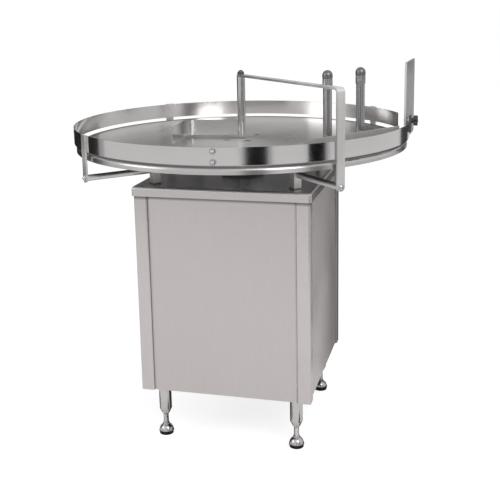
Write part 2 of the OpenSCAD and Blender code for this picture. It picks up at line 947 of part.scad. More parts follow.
module lane_nuts() {
  color("silver") difference() {
    rotate([0, 0, lane_bolts_at])
      for (z = [band_z + lane_low, band_top - lane_high]) translate([band_ro, 0, z]) {
        bar_x(washer_t, washer_r);
        rotate([0, 90, 0]) cylinder(h = washer_t + lane_nut_h, r = lane_nut_r, $fn = 6);
        translate([washer_t + lane_nut_h, 0, 0]) dome_x(crown_base * lane_nut_r, crown_rise * lane_nut_r);
      }
    lane_bolts();
  }
}

// round posts against the lane guide's inner face, each with a stud for its cap
module guide_posts() {
  color("silver") difference() {
    for (p = [post_1_p, post_2_p]) translate([p[0], p[1], band_z]) {
      cylinder(h = shoulder_z - band_z, r = post_d / 2);
      cylinder(h = tall_z - cap_roof - face_gap - band_z, r = stud_r);
    }
    post_screws(post_1_p);
    post_screws(post_2_p);
  }
}

// domed cap with a knurled skirt, turning on the stud of its post
module post_cap(p) {
  dome = cap_d / 2;
  color("dimgray") translate([p[0], p[1], 0]) difference() {
    union() {
      translate([0, 0, shoulder_z + face_gap])
        cylinder(h = cap_h - dome - face_gap, r = cap_d / 2);
      translate([0, 0, tall_z - dome]) sphere(r = dome);
    }
    translate([0, 0, shoulder_z - dome]) cylinder(h = dome + face_gap, r = cap_d);
    translate([0, 0, shoulder_z])
      cylinder(h = tall_z - cap_roof - shoulder_z, r = stud_r + run_fit);
    for (i = [0 : knurls - 1]) rotate([0, 0, i * 360 / knurls])
      translate([cap_d / 2 + knurl_r / 4, 0, shoulder_z - past])
        cylinder(h = knurl_h + past, r = knurl_r);
  }
}

module post_cap_1() {
  post_cap(post_1_p);
}

module post_cap_2() {
  post_cap(post_2_p);
}

module clamp_plate() {
  color("dimgray") difference() {
    rotate([0, 0, clamp_at]) translate([band_ro, -clamp_w / 2, band_top - clamp_below])
      cube([bar_t, clamp_w, clamp_below + clamp_above]);
    clamp_screws();
    clamp_shank();
  }
}

module clamp_shank() {
  rotate([0, 0, clamp_at]) translate([clamp_head_x - past, 0, clamp_bolt_z])
    bar_x(bar_out + knob_stick - clamp_head_x + past, clamp_bolt_r);
}

module clamp_bolt() {
  color("silver") {
    clamp_shank();
    rotate([0, 0, clamp_at]) translate([clamp_head_x, 0, clamp_bolt_z])
      mirror([1, 0, 0]) dome_x(clamp_head_r, rod_bolt_rise);
  }
}

// flat plate on edge beside the outlet, with a level slot for the clamp bolt
module gate_plate() {
  slot_r = clamp_bolt_r + slot_play;
  color("silver") rotate([0, 0, gate_at]) difference() {
    translate([gate_in, -gate_fore, band_z]) cube([gate_t, gate_len, tall_z - band_z]);
    translate([gate_in - past, slot_y, clamp_bolt_z]) {
      translate([0, -slot_fore, -slot_r])
        cube([gate_t + 2 * past, slot_fore + slot_back, 2 * slot_r]);
      for (y = [-slot_fore, slot_back])
        translate([0, y, 0]) bar_x(gate_t + 2 * past, slot_r);
    }
  }
}

module star_knob() {
  lobe_at = knob_d / 2 - knob_lobe;
  color("black") rotate([0, 0, clamp_at])
    translate([bar_out + face_gap, 0, clamp_bolt_z]) difference() {
      union() {
        bar_x(knob_boss + past, knob_d / 4);
        translate([knob_boss, 0, 0]) rotate([0, 90, 0]) linear_extrude(knob_star) {
          circle(r = knob_core * lobe_at);
          for (a = [0 : 60 : 300]) rotate(a) translate([lobe_at, 0]) circle(r = knob_lobe);
        }
      }
      translate([-past, 0, 0]) bar_x(knob_boss + knob_star + 2 * past, clamp_bolt_r + run_fit);
    }
}

// spun sheet with its edge bent down over a round
module disc() {
  r = disc_d / 2;
  bend_c = r - rim_bend;
  color("lightgray") difference() {
    rotate_extrude() {
      translate([0, work_h - disc_t]) square([bend_c, disc_t]);
      intersection() {
        translate([bend_c, work_h - rim_bend]) difference() {
          circle(r = rim_bend);
          circle(r = rim_bend - disc_t);
        }
        translate([bend_c, work_h - rim_bend]) square([rim_bend, rim_bend]);
      }
      translate([r - disc_t, work_h - rim_h]) square([disc_t, rim_h - rim_bend]);
    }
    hub_screws_shape();
  }
}

module hub_screws_shape() {
  for (a = [0 : 60 : 300]) rotate([0, 0, a]) translate([hub_screw_at, 0, work_h])
    rotate([0, 90, 0]) flat_screw(hub_screw_head, hub_screw_cone, hub_screw_r, hub_screw_len);
}

module hub_screws() {
  color("silver") hub_screws_shape();
}

module disc_hub() {
  color("slategray") difference() {
    union() {
      translate([0, 0, hub_z]) cylinder(h = hub_t, r = hub_r);
      translate([0, 0, hub_z - hub_boss_h]) cylinder(h = hub_boss_h + past, r = hub_boss_r);
    }
    translate([0, 0, hub_z - hub_boss_h - past])
      cylinder(h = hub_boss_h + hub_t + 2 * past, r = shaft_r);
    hub_screws_shape();
  }
}

module drive_shaft() {
  color("silver") translate([0, 0, case_z - cover_t])
    cylinder(h = work_h - disc_t - case_z + cover_t, r = shaft_r);
}

// bronze wheel on a journal, with square-cut tooth gaps around its edge
module worm_wheel() {
  gap_w = PI * wheel_r / wheel_teeth;
  color("goldenrod") difference() {
    union() {
      translate([0, 0, case_z - cover_t])
        cylinder(h = chamber_h + journal_h + cover_t, r = journal_r);
      translate([0, 0, wheel_z - wheel_half]) cylinder(h = 2 * wheel_half, r = wheel_r);
    }
    translate([0, 0, case_z - cover_t - past])
      cylinder(h = chamber_h + journal_h + cover_t + 2 * past, r = shaft_r);
    for (i = [0 : wheel_teeth - 1]) rotate([0, 0, i * 360 / wheel_teeth])
      translate([wheel_r - tooth_depth, -gap_w / 2, wheel_z - wheel_half - past])
        cube([tooth_depth + past, gap_w, 2 * wheel_half + 2 * past]);
  }
}

module worm() {
  thread_end = case_side / 2;
  thread_start = -case_side + worm_wall + face_gap;
  turns = floor((thread_end - thread_start) / worm_pitch);
  color("gray") on_motor_axis() difference() {
    union() {
      translate([0, 0, -case_side]) cylinder(h = worm_wall + past, r = worm_journal);
      translate([0, 0, thread_start]) cylinder(h = case_side - thread_start, r = worm_r - tooth_depth);
      for (i = [0 : turns - 1]) translate([0, 0, thread_start + i * worm_pitch])
        cylinder(h = worm_pitch / 2, r = worm_r);
    }
    cylinder(h = case_side + past, r = motor_shaft_r);
  }
}

module motor_rotor() {
  core_start = motor_y + motor_flange_t;
  color("silver") on_motor_axis() {
    cylinder(h = fan_y + fan_w, r = motor_shaft_r);
    translate([0, 0, core_start])
      cylinder(h = motor_end - motor_wall - rotor_gap - core_start, r = rotor_r);
  }
}

module motor_fan() {
  color("black") on_motor_axis() difference() {
    translate([0, 0, fan_y]) {
      cylinder(h = fan_sheet, r = fan_r);
      cylinder(h = fan_w, r = fan_boss_r);
      for (i = [0 : fan_blades - 1]) rotate([0, 0, i * 360 / fan_blades])
        translate([fan_boss_r - past, -fan_sheet / 2, fan_sheet / 2])
          cube([fan_r - fan_boss_r, fan_sheet, fan_w - fan_sheet]);
    }
    translate([0, 0, fan_y - past]) cylinder(h = fan_w + 2 * past, r = motor_shaft_r);
  }
}

module centre_post() {
  top = overhead_z - bar_t - face_gap;
  color("silver") {
    translate([0, 0, band_z]) cylinder(h = top - band_z, r = centre_post_d / 2);
    translate([0, 0, top - past]) cylinder(h = bar_t + 2 * face_gap + nut_h + past, r = centre_stud_r);
  }
}

module deflector() {
  color("lightgray") difference() {
    union() {
      strip_straight([0, 0], deflector_heading, deflector_run, lap);
      strip_left(bend_start, deflector_heading, deflector_turn, strip_bend);
      strip_straight(bend_end, tail_heading, deflector_tail, 0);
    }
    translate([0, 0, band_z - past]) cylinder(h = band_h + 2 * past, r = centre_post_d / 2);
  }
}

module post_nut() {
  color("dimgray") translate([0, 0, overhead_z + face_gap]) difference() {
    union() {
      cylinder(h = nut_h, r = nut_r, $fn = 6);
      translate([0, 0, nut_h]) rotate([0, -90, 0]) dome_x(crown_base * nut_r, crown_rise * nut_r);
    }
    translate([0, 0, -past]) cylinder(h = nut_h + past, r = centre_stud_r);
  }
}

// levelling stem with a domed foot
module foot(sx, sy) {
  color("silver") translate([sx * leg_at, sy * leg_at, pad_h]) {
    intersection() {
      translate([0, 0, dome_h - dome_r]) sphere(r = dome_r);
      cylinder(h = dome_h, r = foot_d);
    }
    cylinder(h = dome_h + neck_rise, r = dome_neck);
    cylinder(h = stem_top - pad_h, r = stem_d / 2);
  }
}

module pad(sx, sy) {
  color("black") translate([sx * leg_at, sy * leg_at, 0])
    cylinder(h = pad_h, r1 = foot_d / 2 - pad_over, r2 = foot_d / 2 + pad_over);
}

module foot_front_left() {
  foot(-1, -1);
}

module foot_front_right() {
  foot(1, -1);
}

module foot_rear_left() {
  foot(-1, 1);
}

module foot_rear_right() {
  foot(1, 1);
}

module pad_front_left() {
  pad(-1, -1);
}

module pad_front_right() {
  pad(1, -1);
}

module pad_rear_left() {
  pad(-1, 1);
}

module pad_rear_right() {
  pad(1, 1);
}

corner_posts();
top_rails();
bottom_rails();
leg_plates();
leg_sleeves();
top_cover();
front_panel();
rear_panel();
left_panel();
right_panel();
panel_clips();
drive_plate();
shaft_bearing();
drive_bolts();
gearbox_case();
gearbox_cover();
motor_case();
fan_cowl();
terminal_box();
control_box();
cable_gland();
rod_blocks();
support_rods();
rod_bolts();
band_bars();
overhead_bar();
band_front();
band_rear();
flat_screws();
lane_guide();
lane_screws();
lane_nuts();
guide_posts();
clamp_plate();
clamp_bolt();
disc();
disc_hub();
hub_screws();
drive_shaft();
worm_wheel();
worm();
motor_rotor();
motor_fan();
centre_post();
deflector();
post_nut();
gate_plate();
star_knob();
post_cap_1();
post_cap_2();
foot_front_left();
foot_front_right();
foot_rear_left();
foot_rear_right();
pad_front_left();
pad_front_right();
pad_rear_left();
pad_rear_right();
power_switch();
speed_dial();
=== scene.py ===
import bpy
import math
from mathutils import Matrix, Vector


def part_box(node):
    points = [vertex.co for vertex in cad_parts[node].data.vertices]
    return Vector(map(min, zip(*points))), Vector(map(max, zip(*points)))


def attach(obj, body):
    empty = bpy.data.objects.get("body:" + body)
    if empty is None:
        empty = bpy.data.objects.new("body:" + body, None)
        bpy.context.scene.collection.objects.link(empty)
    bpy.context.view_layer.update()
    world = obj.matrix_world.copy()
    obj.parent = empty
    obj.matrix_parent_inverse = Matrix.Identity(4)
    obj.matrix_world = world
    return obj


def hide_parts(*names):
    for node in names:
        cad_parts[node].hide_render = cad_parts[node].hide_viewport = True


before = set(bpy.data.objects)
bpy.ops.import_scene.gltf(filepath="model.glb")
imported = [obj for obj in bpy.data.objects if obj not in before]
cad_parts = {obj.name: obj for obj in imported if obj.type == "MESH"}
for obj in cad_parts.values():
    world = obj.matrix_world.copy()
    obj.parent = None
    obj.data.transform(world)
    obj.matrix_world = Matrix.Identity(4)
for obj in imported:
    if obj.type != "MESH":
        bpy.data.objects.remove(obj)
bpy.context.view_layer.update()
bpy.ops.object.select_all(action="DESELECT")


# Levelling feet: a turned and polished steel dome with a stem that screws up into the leg.
# The polishing goes round the stem, so its fine lines lie in rings.
def new_finish(name):
    """An empty material, with the calls that add and link its nodes, and its shader."""
    made = bpy.data.materials.new(name)
    made.use_nodes = True
    tree = made.node_tree
    return made, tree.nodes.new, tree.links.new, tree.nodes["Principled BSDF"]


def dress(finish, *names):
    for name in names:
        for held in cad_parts[name].material_slots:
            held.material = finish


def steel(name, colour, rough, grain, shade=0.12, bump=0.05, cloudy=6.0, patchy=0.22,
          stretch=0.0, painted_shade_band=None, wear_and_painted_light=None):
    """Bright metal with fine lines along its grain and soft clouds of handling.

    The two band arguments, in order, are a band of painted shade that darkens and a painted
    highlight that is paler, rougher and stops at the flat top above it. Each gives the height where
    it starts, the height where it is full, and its brightness.
    """
    line_depth, flat_top_above, highlight_rough = 0.0002, 0.0028, 0.35
    finish, put, tie, face = new_finish(name)
    face.inputs["Metallic"].default_value = 1.0
    where = put("ShaderNodeTexCoord").outputs["Object"]
    along = put("ShaderNodeMapping")
    along.inputs["Scale"].default_value = grain
    tie(where, along.inputs["Vector"])
    lines = put("ShaderNodeTexNoise")
    lines.inputs["Scale"].default_value = 1.0
    lines.inputs["Detail"].default_value = 3.0
    tie(along.outputs["Vector"], lines.inputs["Vector"])
    cloud = put("ShaderNodeTexNoise")
    cloud.inputs["Scale"].default_value = cloudy
    cloud.inputs["Detail"].default_value = 5.0
    tie(where, cloud.inputs["Vector"])
    both = put("ShaderNodeMath")
    both.operation = "ADD"
    tie(lines.outputs["Fac"], both.inputs[0])
    tie(cloud.outputs["Fac"], both.inputs[1])
    spread = put("ShaderNodeMapRange")
    spread.inputs["From Min"].default_value = 0.75
    spread.inputs["From Max"].default_value = 1.25
    tie(both.outputs["Value"], spread.inputs["Value"])
    tone = put("ShaderNodeValToRGB")
    tone.color_ramp.elements[0].color = [c * (1 - shade) for c in colour] + [1]
    tone.color_ramp.elements[1].color = [min(1, c * (1 + shade)) for c in colour] + [1]
    tie(spread.outputs["Result"], tone.inputs["Fac"])
    dull = put("ShaderNodeMapRange")
    dull.inputs["From Min"].default_value = 0.3
    dull.inputs["From Max"].default_value = 0.7
    dull.inputs["To Min"].default_value = rough * (1 - patchy)
    dull.inputs["To Max"].default_value = rough * (1 + patchy)
    tie(cloud.outputs["Fac"], dull.inputs["Value"])
    shown, finish_rough = tone.outputs["Color"], dull.outputs["Result"]
    if painted_shade_band or wear_and_painted_light:
        height = put("ShaderNodeSeparateXYZ")
        tie(where, height.inputs["Vector"])
        first, last, share = painted_shade_band or wear_and_painted_light
        line = put("ShaderNodeMapRange")
        line.inputs["From Min"].default_value = first
        line.inputs["From Max"].default_value = last
        tie(height.outputs["Z"], line.inputs["Value"])
        mixed = put("ShaderNodeMix")
        mixed.data_type = "RGBA"
        mixed.inputs["B"].default_value = [min(1, c * share) for c in colour] + [1]
        tie(shown, mixed.inputs["A"])
        shown = mixed.outputs["Result"]
        reach = line.outputs["Result"]
        if wear_and_painted_light:
            flat_top = put("ShaderNodeMath")
            flat_top.operation = "LESS_THAN"
            flat_top.inputs[1].default_value = last + flat_top_above
            tie(height.outputs["Z"], flat_top.inputs[0])
            band = put("ShaderNodeMath")
            band.operation = "MULTIPLY"
            tie(reach, band.inputs[0])
            tie(flat_top.outputs["Value"], band.inputs[1])
            reach = band.outputs["Value"]
            rub_and_painted_light = put("ShaderNodeMath")
            rub_and_painted_light.operation = "MULTIPLY_ADD"
            rub_and_painted_light.inputs[1].default_value = highlight_rough
            tie(reach, rub_and_painted_light.inputs[0])
            tie(finish_rough, rub_and_painted_light.inputs[2])
            finish_rough = rub_and_painted_light.outputs["Value"]
        tie(reach, mixed.inputs["Factor"])
    tie(shown, face.inputs["Base Color"])
    tie(finish_rough, face.inputs["Roughness"])
    relief = put("ShaderNodeBump")
    relief.inputs["Strength"].default_value = bump
    relief.inputs["Distance"].default_value = line_depth
    tie(lines.outputs["Fac"], relief.inputs["Height"])
    tie(relief.outputs["Normal"], face.inputs["Normal"])
    if stretch:
        face.inputs["Anisotropic"].default_value = stretch
        way = put("ShaderNodeTangent")
        way.direction_type = "RADIAL"
        way.axis = "Z"
        tie(way.outputs["Tangent"], face.inputs["Tangent"])
    return finish


def turned(name, at, first, steps, sides=48):
    """A round solid drawn up from a flat end: each step is a height above it and a radius."""
    bpy.ops.object.select_all(action="DESELECT")
    bpy.ops.mesh.primitive_circle_add(vertices=sides, radius=first, fill_type="NGON", location=at)
    piece = bpy.context.object
    piece.name = piece.data.name = name
    bpy.ops.object.mode_set(mode="EDIT")
    bpy.ops.mesh.select_all(action="SELECT")
    height, radius = 0.0, first
    for rise, wide in steps:
        bpy.ops.mesh.extrude_region_move(TRANSFORM_OT_translate={"value": (0, 0, rise - height)})
        bpy.ops.transform.resize(value=(wide / radius, wide / radius, 1), center_override=at)
        height, radius = rise, wide
    bpy.ops.mesh.select_all(action="SELECT")
    bpy.ops.mesh.normals_make_consistent(inside=False)
    bpy.ops.object.mode_set(mode="OBJECT")
    bpy.ops.object.transform_apply(location=True, rotation=True, scale=True)
    bpy.ops.object.shade_smooth_by_angle(angle=math.radians(35))
    return piece


def copied(piece, name, place):
    """A twin with its own mesh, moved in that mesh."""
    twin = piece.copy()
    twin.data = piece.data.copy()
    twin.name = twin.data.name = name
    bpy.context.scene.collection.objects.link(twin)
    twin.data.transform(place)
    return twin


corners = ("front_left", "front_right", "rear_left", "rear_right")
turned_foot = steel("turned_foot", (0.44, 0.43, 0.425), 0.26, (60, 60, 2500), bump=0.08)
foot_low, foot_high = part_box("foot_front_left")
foot_at = (foot_low + foot_high) / 2
foot_at.z = foot_low.z
dome_r, collar_r, collar_top = 0.022, 0.010, 0.025
crest_r, root_r, thread_pitch = 0.00795, 0.0072, 0.002
chamfer, sole_chamfer, run_in, run_out, dome_rows = 0.001, 0.0008, 0.0015, 0.003, 8
foot_tall = foot_high.z - foot_low.z
steps = [(chamfer, dome_r)]
for i in range(1, dome_rows + 1):
    lean = math.acos(collar_r / dome_r) * i / dome_rows
    steps.append((dome_r * math.sin(lean), dome_r * math.cos(lean)))
steps += [(collar_top - chamfer, collar_r), (collar_top, collar_r - chamfer), (collar_top, root_r)]
threads = int((foot_tall - collar_top - run_out) / thread_pitch)
for i in range(threads):
    start = collar_top + run_in + i * thread_pitch
    steps += [(start, root_r), (start + 0.4 * thread_pitch, crest_r),
              (start + 0.55 * thread_pitch, crest_r), (start + 0.95 * thread_pitch, root_r)]
steps.append((foot_tall, root_r - chamfer))
first_foot = turned("threaded_foot_front_left", foot_at, dome_r - sole_chamfer, steps)
first_foot.data.materials.append(turned_foot)
for corner in corners:
    foot = first_foot
    if corner != "front_left":
        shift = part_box("foot_" + corner)[0] - foot_low
        foot = copied(first_foot, "threaded_foot_" + corner, Matrix.Translation(shift))
    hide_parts("foot_" + corner)
    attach(foot, "leg_" + corner)


# Rubber pads: moulded black rubber bonded under the feet, dull and a little dusty.
# The moulding leaves a fine pebbled skin.
def moulded(name, colour, rough, pebble, depth, dust=0.5):
    """Rubber or plastic with a pebbled skin and a film of dust in patches."""
    dust_film, skin_depth = 0.06 * dust, 0.0004
    finish, put, tie, face = new_finish(name)
    where = put("ShaderNodeTexCoord").outputs["Object"]
    skin = put("ShaderNodeTexNoise")
    skin.inputs["Scale"].default_value = pebble
    skin.inputs["Detail"].default_value = 4.0
    tie(where, skin.inputs["Vector"])
    patch = put("ShaderNodeTexNoise")
    patch.inputs["Scale"].default_value = 35.0
    patch.inputs["Detail"].default_value = 5.0
    tie(where, patch.inputs["Vector"])
    tone = put("ShaderNodeValToRGB")
    tone.color_ramp.elements[0].position = 0.3
    tone.color_ramp.elements[1].position = 0.75
    tone.color_ramp.elements[0].color = [*colour, 1]
    tone.color_ramp.elements[1].color = [c + (1 - c) * dust_film for c in colour] + [1]
    tie(patch.outputs["Fac"], tone.inputs["Fac"])
    tie(tone.outputs["Color"], face.inputs["Base Color"])
    dull = put("ShaderNodeMapRange")
    dull.inputs["To Min"].default_value = rough * 0.85
    dull.inputs["To Max"].default_value = min(1.0, rough * 1.2)
    tie(patch.outputs["Fac"], dull.inputs["Value"])
    tie(dull.outputs["Result"], face.inputs["Roughness"])
    relief = put("ShaderNodeBump")
    relief.inputs["Strength"].default_value = depth
    relief.inputs["Distance"].default_value = skin_depth
    tie(skin.outputs["Fac"], relief.inputs["Height"])
    tie(relief.outputs["Normal"], face.inputs["Normal"])
    return finish


pad_rubber = moulded("pad_rubber", (0.005, 0.005, 0.005), 0.85, 900.0, 0.35, dust=0.2)
pad_rubber.node_tree.nodes["Principled BSDF"].inputs["Specular IOR Level"].default_value = 0.2
dress(pad_rubber, *("pad_" + corner for corner in corners))


# Leg sleeves: thick steel tube with a turned cone at the lower end, welded to the leg plates.
# They are polished round their length.
sleeve_steel = steel("sleeve_steel", (0.54, 0.52, 0.515), 0.15, (50, 50, 2200), bump=0.06)
dress(sleeve_steel, "leg_sleeves")


# Frame: square tube rails and thick plates welded into a box, left in their mill finish.
# The hooks that carry the panels and the plate that carries the drive have the same finish.
mill_steel = steel("mill_steel", (0.42, 0.42, 0.42), 0.42, (90, 90, 90), shade=0.2, bump=0.12,
                   cloudy=14.0)
dress(mill_steel, "top_rails", "bottom_rails", "leg_plates", "panel_clips", "drive_plate")


# Corner posts: folded stainless square tube, brushed along its length and welded to the rails.
# Painted shade darkens it in a thin band under the lid's lip, and at the sides in a strip beside
# the panels' recess.
lip_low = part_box("top_cover")[0].z
shade_under_lip = (lip_low - 0.012, lip_low - 0.006, 0.42)
recess_shade_start, recess_shade_full, recess_painted_shade = 0.2250, 0.2228, (0.24, 0.23, 0.23, 1)
post_steel = steel("post_steel", (0.57, 0.535, 0.53), 0.28, (2600, 2600, 14), shade=0.05, bump=0.03,
                   stretch=0.5, painted_shade_band=shade_under_lip)
put, tie = post_steel.node_tree.nodes.new, post_steel.node_tree.links.new
post_face = post_steel.node_tree.nodes["Principled BSDF"]
# Painted shade: a narrow strip of each post darkens beside the recess where the side panels meet
# it.
place = put("ShaderNodeSeparateXYZ")
tie(put("ShaderNodeTexCoord").outputs["Object"], place.inputs["Vector"])
off_centre = put("ShaderNodeMath")
off_centre.operation = "ABSOLUTE"
tie(place.outputs["Y"], off_centre.inputs[0])
recess_shade_mask = put("ShaderNodeMapRange")
recess_shade_mask.inputs["From Min"].default_value = recess_shade_start
recess_shade_mask.inputs["From Max"].default_value = recess_shade_full
tie(off_centre.outputs["Value"], recess_shade_mask.inputs["Value"])
recess_shaded = put("ShaderNodeMix")
recess_shaded.data_type = "RGBA"
recess_shaded.inputs["B"].default_value = recess_painted_shade
tie(post_face.inputs["Base Color"].links[0].from_socket, recess_shaded.inputs["A"])
tie(recess_shade_mask.outputs["Result"], recess_shaded.inputs["Factor"])
tie(recess_shaded.outputs["Result"], post_face.inputs["Base Color"])
dress(post_steel, "corner_posts")


# Drive: a worm gearbox of painted cast iron hangs under the drive plate, with a flanged bearing
# on the lid above it. The casting keeps its sandy skin under the paint.
def painted(name, colour, rough, skin_size, depth, chips):
    """Paint over a rough skin, paler where it is thin or chipped."""
    skin_depth = 0.0006
    finish, put, tie, face = new_finish(name)
    where = put("ShaderNodeTexCoord").outputs["Object"]
    skin = put("ShaderNodeTexNoise")
    skin.inputs["Scale"].default_value = skin_size
    skin.inputs["Detail"].default_value = 6.0
    tie(where, skin.inputs["Vector"])
    wear_and_painted_light = put("ShaderNodeTexNoise")
    wear_and_painted_light.inputs["Scale"].default_value = 60.0
    wear_and_painted_light.inputs["Detail"].default_value = 8.0
    wear_and_painted_light.inputs["Roughness"].default_value = 0.7
    tie(where, wear_and_painted_light.inputs["Vector"])
    tone = put("ShaderNodeValToRGB")
    tone.color_ramp.elements[0].position = 0.35
    tone.color_ramp.elements[0].color = [c * 0.82 for c in colour] + [1]
    tone.color_ramp.elements[1].position = 0.62
    tone.color_ramp.elements[1].color = [min(1, c * 1.12) for c in colour] + [1]
    bare = tone.color_ramp.elements.new(1 - chips)
    bare.color = [min(1, c * 1.6 + 0.05) for c in colour] + [1]
    tie(wear_and_painted_light.outputs["Fac"], tone.inputs["Fac"])
    tie(tone.outputs["Color"], face.inputs["Base Color"])
    dull = put("ShaderNodeMapRange")
    dull.inputs["To Min"].default_value = rough * 0.8
    dull.inputs["To Max"].default_value = rough * 1.3
    tie(wear_and_painted_light.outputs["Fac"], dull.inputs["Value"])
    tie(dull.outputs["Result"], face.inputs["Roughness"])
    relief = put("ShaderNodeBump")
    relief.inputs["Strength"].default_value = depth
    relief.inputs["Distance"].default_value = skin_depth
    tie(skin.outputs["Fac"], relief.inputs["Height"])
    tie(relief.outputs["Normal"], face.inputs["Normal"])
    return finish


cast_paint = painted("cast_paint", (0.19, 0.205, 0.215), 0.48, 420.0, 0.5, 0.25)
dress(cast_paint, "shaft_bearing", "gearbox_case", "gearbox_cover")
bolt_steel = steel("bolt_steel", (0.46, 0.46, 0.47), 0.27, (700, 700, 700), shade=0.15)
dress(bolt_steel, "drive_bolts")


# Motor: a cast aluminium body with fins, a pressed fan cowl and a terminal box on its side.
# It is bolted to the gearbox and sprayed blue-grey.
motor_paint = painted("motor_paint", (0.075, 0.12, 0.19), 0.38, 700.0, 0.2, 0.22)
dress(motor_paint, "motor_case", "fan_cowl", "terminal_box")


# Gear train: a bronze worm wheel on the drive shaft, a steel worm in line with the motor's rotor,
# and a moulded fan. Steel and bronze show their turning marks.
bronze = steel("bronze", (0.55, 0.36, 0.14), 0.30, (300, 300, 1500), shade=0.16, bump=0.08)
dress(bronze, "worm_wheel")
machined = steel("machined_steel", (0.50, 0.50, 0.51), 0.26, (300, 300, 1800), bump=0.08)
dress(machined, "disc_hub", "drive_shaft", "worm", "motor_rotor")
black_plastic = moulded("black_plastic", (0.015, 0.015, 0.016), 0.42, 1400.0, 0.15)
dress(black_plastic, "motor_fan")


# Panels: folded stainless sheet hung between the corner posts, brushed upright to a warm satin.
# Large soft clouds of handling show in the satin.
# A thin band of painted shade darkens the panels under the lid's lip.
panel_steel = steel("panel_steel", (0.565, 0.528, 0.525), 0.42, (2600, 2600, 14), shade=0.045,
                    bump=0.03, cloudy=3.0, stretch=0.4, painted_shade_band=shade_under_lip)
dress(panel_steel, "front_panel", "rear_panel", "left_panel", "right_panel")


# Panel hems: each upright edge of a panel is rolled back to a small round hem beside its post.
# It stiffens the sheet and hides the cut edge.
def joined(name, pieces):
    """Several pieces made into one."""
    bpy.ops.object.select_all(action="DESELECT")
    for piece in pieces:
        piece.select_set(True)
    bpy.context.view_layer.objects.active = pieces[0]
    bpy.ops.object.join()
    pieces[0].name = pieces[0].data.name = name
    return pieces[0]


hem_r, hem_end_r, hem_round, hem_out, hem_side = 0.0019, 0.0011, 0.001, 0.252, 0.218
facing = {"front": (0, -1), "right": (1, 0), "rear": (0, 1), "left": (-1, 0)}
for side, (out_x, out_y) in facing.items():
    panel_low, panel_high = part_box(side + "_panel")
    hem_tall = panel_high.z - panel_low.z
    rise = [(hem_round, hem_r), (hem_tall - hem_round, hem_r), (hem_tall, hem_end_r)]
    hems = []
    for along in (-hem_side, hem_side):
        at = (out_x * hem_out + out_y * along, out_y * hem_out + out_x * along, panel_low.z)
        hems.append(turned("hem", at, hem_end_r, rise, sides=20))
    hem_pair = joined(side + "_panel_hems", hems)
    hem_pair.data.materials.append(panel_steel)
    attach(hem_pair, "cabinet")


# Lid: one stainless sheet pressed with round edges and a deep lip, set over the posts and panels.
# It is brushed across, and its round edge is painted paler than the top as a painted highlight, and
# made rougher.
lid_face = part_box("top_cover")[1].z
round_edge_highlight = (lid_face - 0.008, lid_face - 0.003, 1.5)
lid_steel = steel("lid_steel", (0.56, 0.53, 0.53), 0.25, (10, 2200, 2200), shade=0.04, bump=0.02,
                  cloudy=2.5, patchy=0.06, wear_and_painted_light=round_edge_highlight)
dress(lid_steel, "top_cover")


# Support rods: satin round bar that reaches out to the band's bars from square blocks on the lid.
# Rods and blocks are cut from stainless bar, and each rod is set in its block.
rod_steel = steel("rod_steel", (0.70, 0.69, 0.68), 0.48, (250, 250, 250), shade=0.08)
dress(rod_steel, "rod_blocks", "support_rods")


# Block welds: a fillet of weld metal runs round the foot of each rod block and holds it on the lid.
# The bead is rippled where each drop set, and is left a little duller than the block.
bar_angles = (-135, 45, 135, -45)
block_w, block_at, bead, bead_sunk, bead_clear, ripples = 0.024, 0.296, 0.003, 0.0003, 0.0004, 11
lid_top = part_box("rod_blocks")[0].z
bpy.ops.object.select_all(action="DESELECT")
bpy.ops.mesh.primitive_cube_add(size=1, location=(block_at, 0, lid_top + bead / 2 - bead_sunk))
weld = bpy.context.object
weld.scale = (block_w + 2 * bead, block_w + 2 * bead, bead)
bpy.ops.object.transform_apply(location=True, rotation=True, scale=True)


def pick(piece, wanted):
    """Edit mode on one piece, with only the wanted faces selected."""
    bpy.ops.object.select_all(action="DESELECT")
    piece.select_set(True)
    bpy.context.view_layer.objects.active = piece
    bpy.ops.object.mode_set(mode="EDIT")
    bpy.ops.mesh.select_mode(type="FACE")
    bpy.ops.mesh.select_all(action="DESELECT")
    bpy.ops.object.mode_set(mode="OBJECT")
    for face in piece.data.polygons:
        face.select = wanted(face)
    bpy.ops.object.mode_set(mode="EDIT")


pick(weld, lambda face: face.normal.z > 0.5)
narrow = (block_w + bead_clear) / (block_w + 2 * bead)
bpy.ops.transform.resize(value=(narrow, narrow, 1), center_override=(block_at, 0, lid_top))
bpy.ops.mesh.select_all(action="INVERT")
bpy.ops.mesh.subdivide(number_cuts=ripples)
bpy.ops.object.mode_set(mode="OBJECT")
pick(weld, lambda face: abs(face.normal.z) < 0.95)
bpy.ops.transform.vertex_random(offset=0.0005, uniform=0.6, normal=0.8, seed=4)
bpy.ops.object.mode_set(mode="OBJECT")
bpy.ops.object.shade_smooth_by_angle(angle=math.radians(60))
turns = [Matrix.Rotation(math.radians(angle), 4, "Z") for angle in bar_angles]
welds = [copied(weld, "weld", turn) for turn in turns]
bpy.data.objects.remove(weld)
block_welds = joined("block_welds", welds)
weld_steel = steel("weld_steel", (0.40, 0.385, 0.37), 0.40, (400, 400, 400), shade=0.2, bump=0.2,
                   cloudy=90.0)
block_welds.data.materials.append(weld_steel)
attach(block_welds, "cabinet")


# Rod bolts: round-headed bolts with a hexagon socket and a washer, through each bar into its rod.
# They are turned and cold-headed from stainless steel.
def socket_bolt(name, at, first, steps, across, deep):
    """A turned bolt with a hexagon socket cut into its upper end."""
    bolt = turned(name, at, first, steps, sides=32)
    top = at[2] + steps[-1][0]
    bpy.ops.object.select_all(action="DESELECT")
    bpy.ops.mesh.primitive_cylinder_add(
        vertices=6, radius=across / math.sqrt(3), depth=2 * deep, location=(at[0], at[1], top))
    key = bpy.context.object
    cut = bolt.modifiers.new("socket", "BOOLEAN")
    cut.operation = "DIFFERENCE"
    cut.solver = "EXACT"
    cut.object = key
    bpy.context.view_layer.objects.active = bolt
    bpy.ops.object.modifier_apply(modifier="socket")
    bpy.data.objects.remove(key)
    return bolt


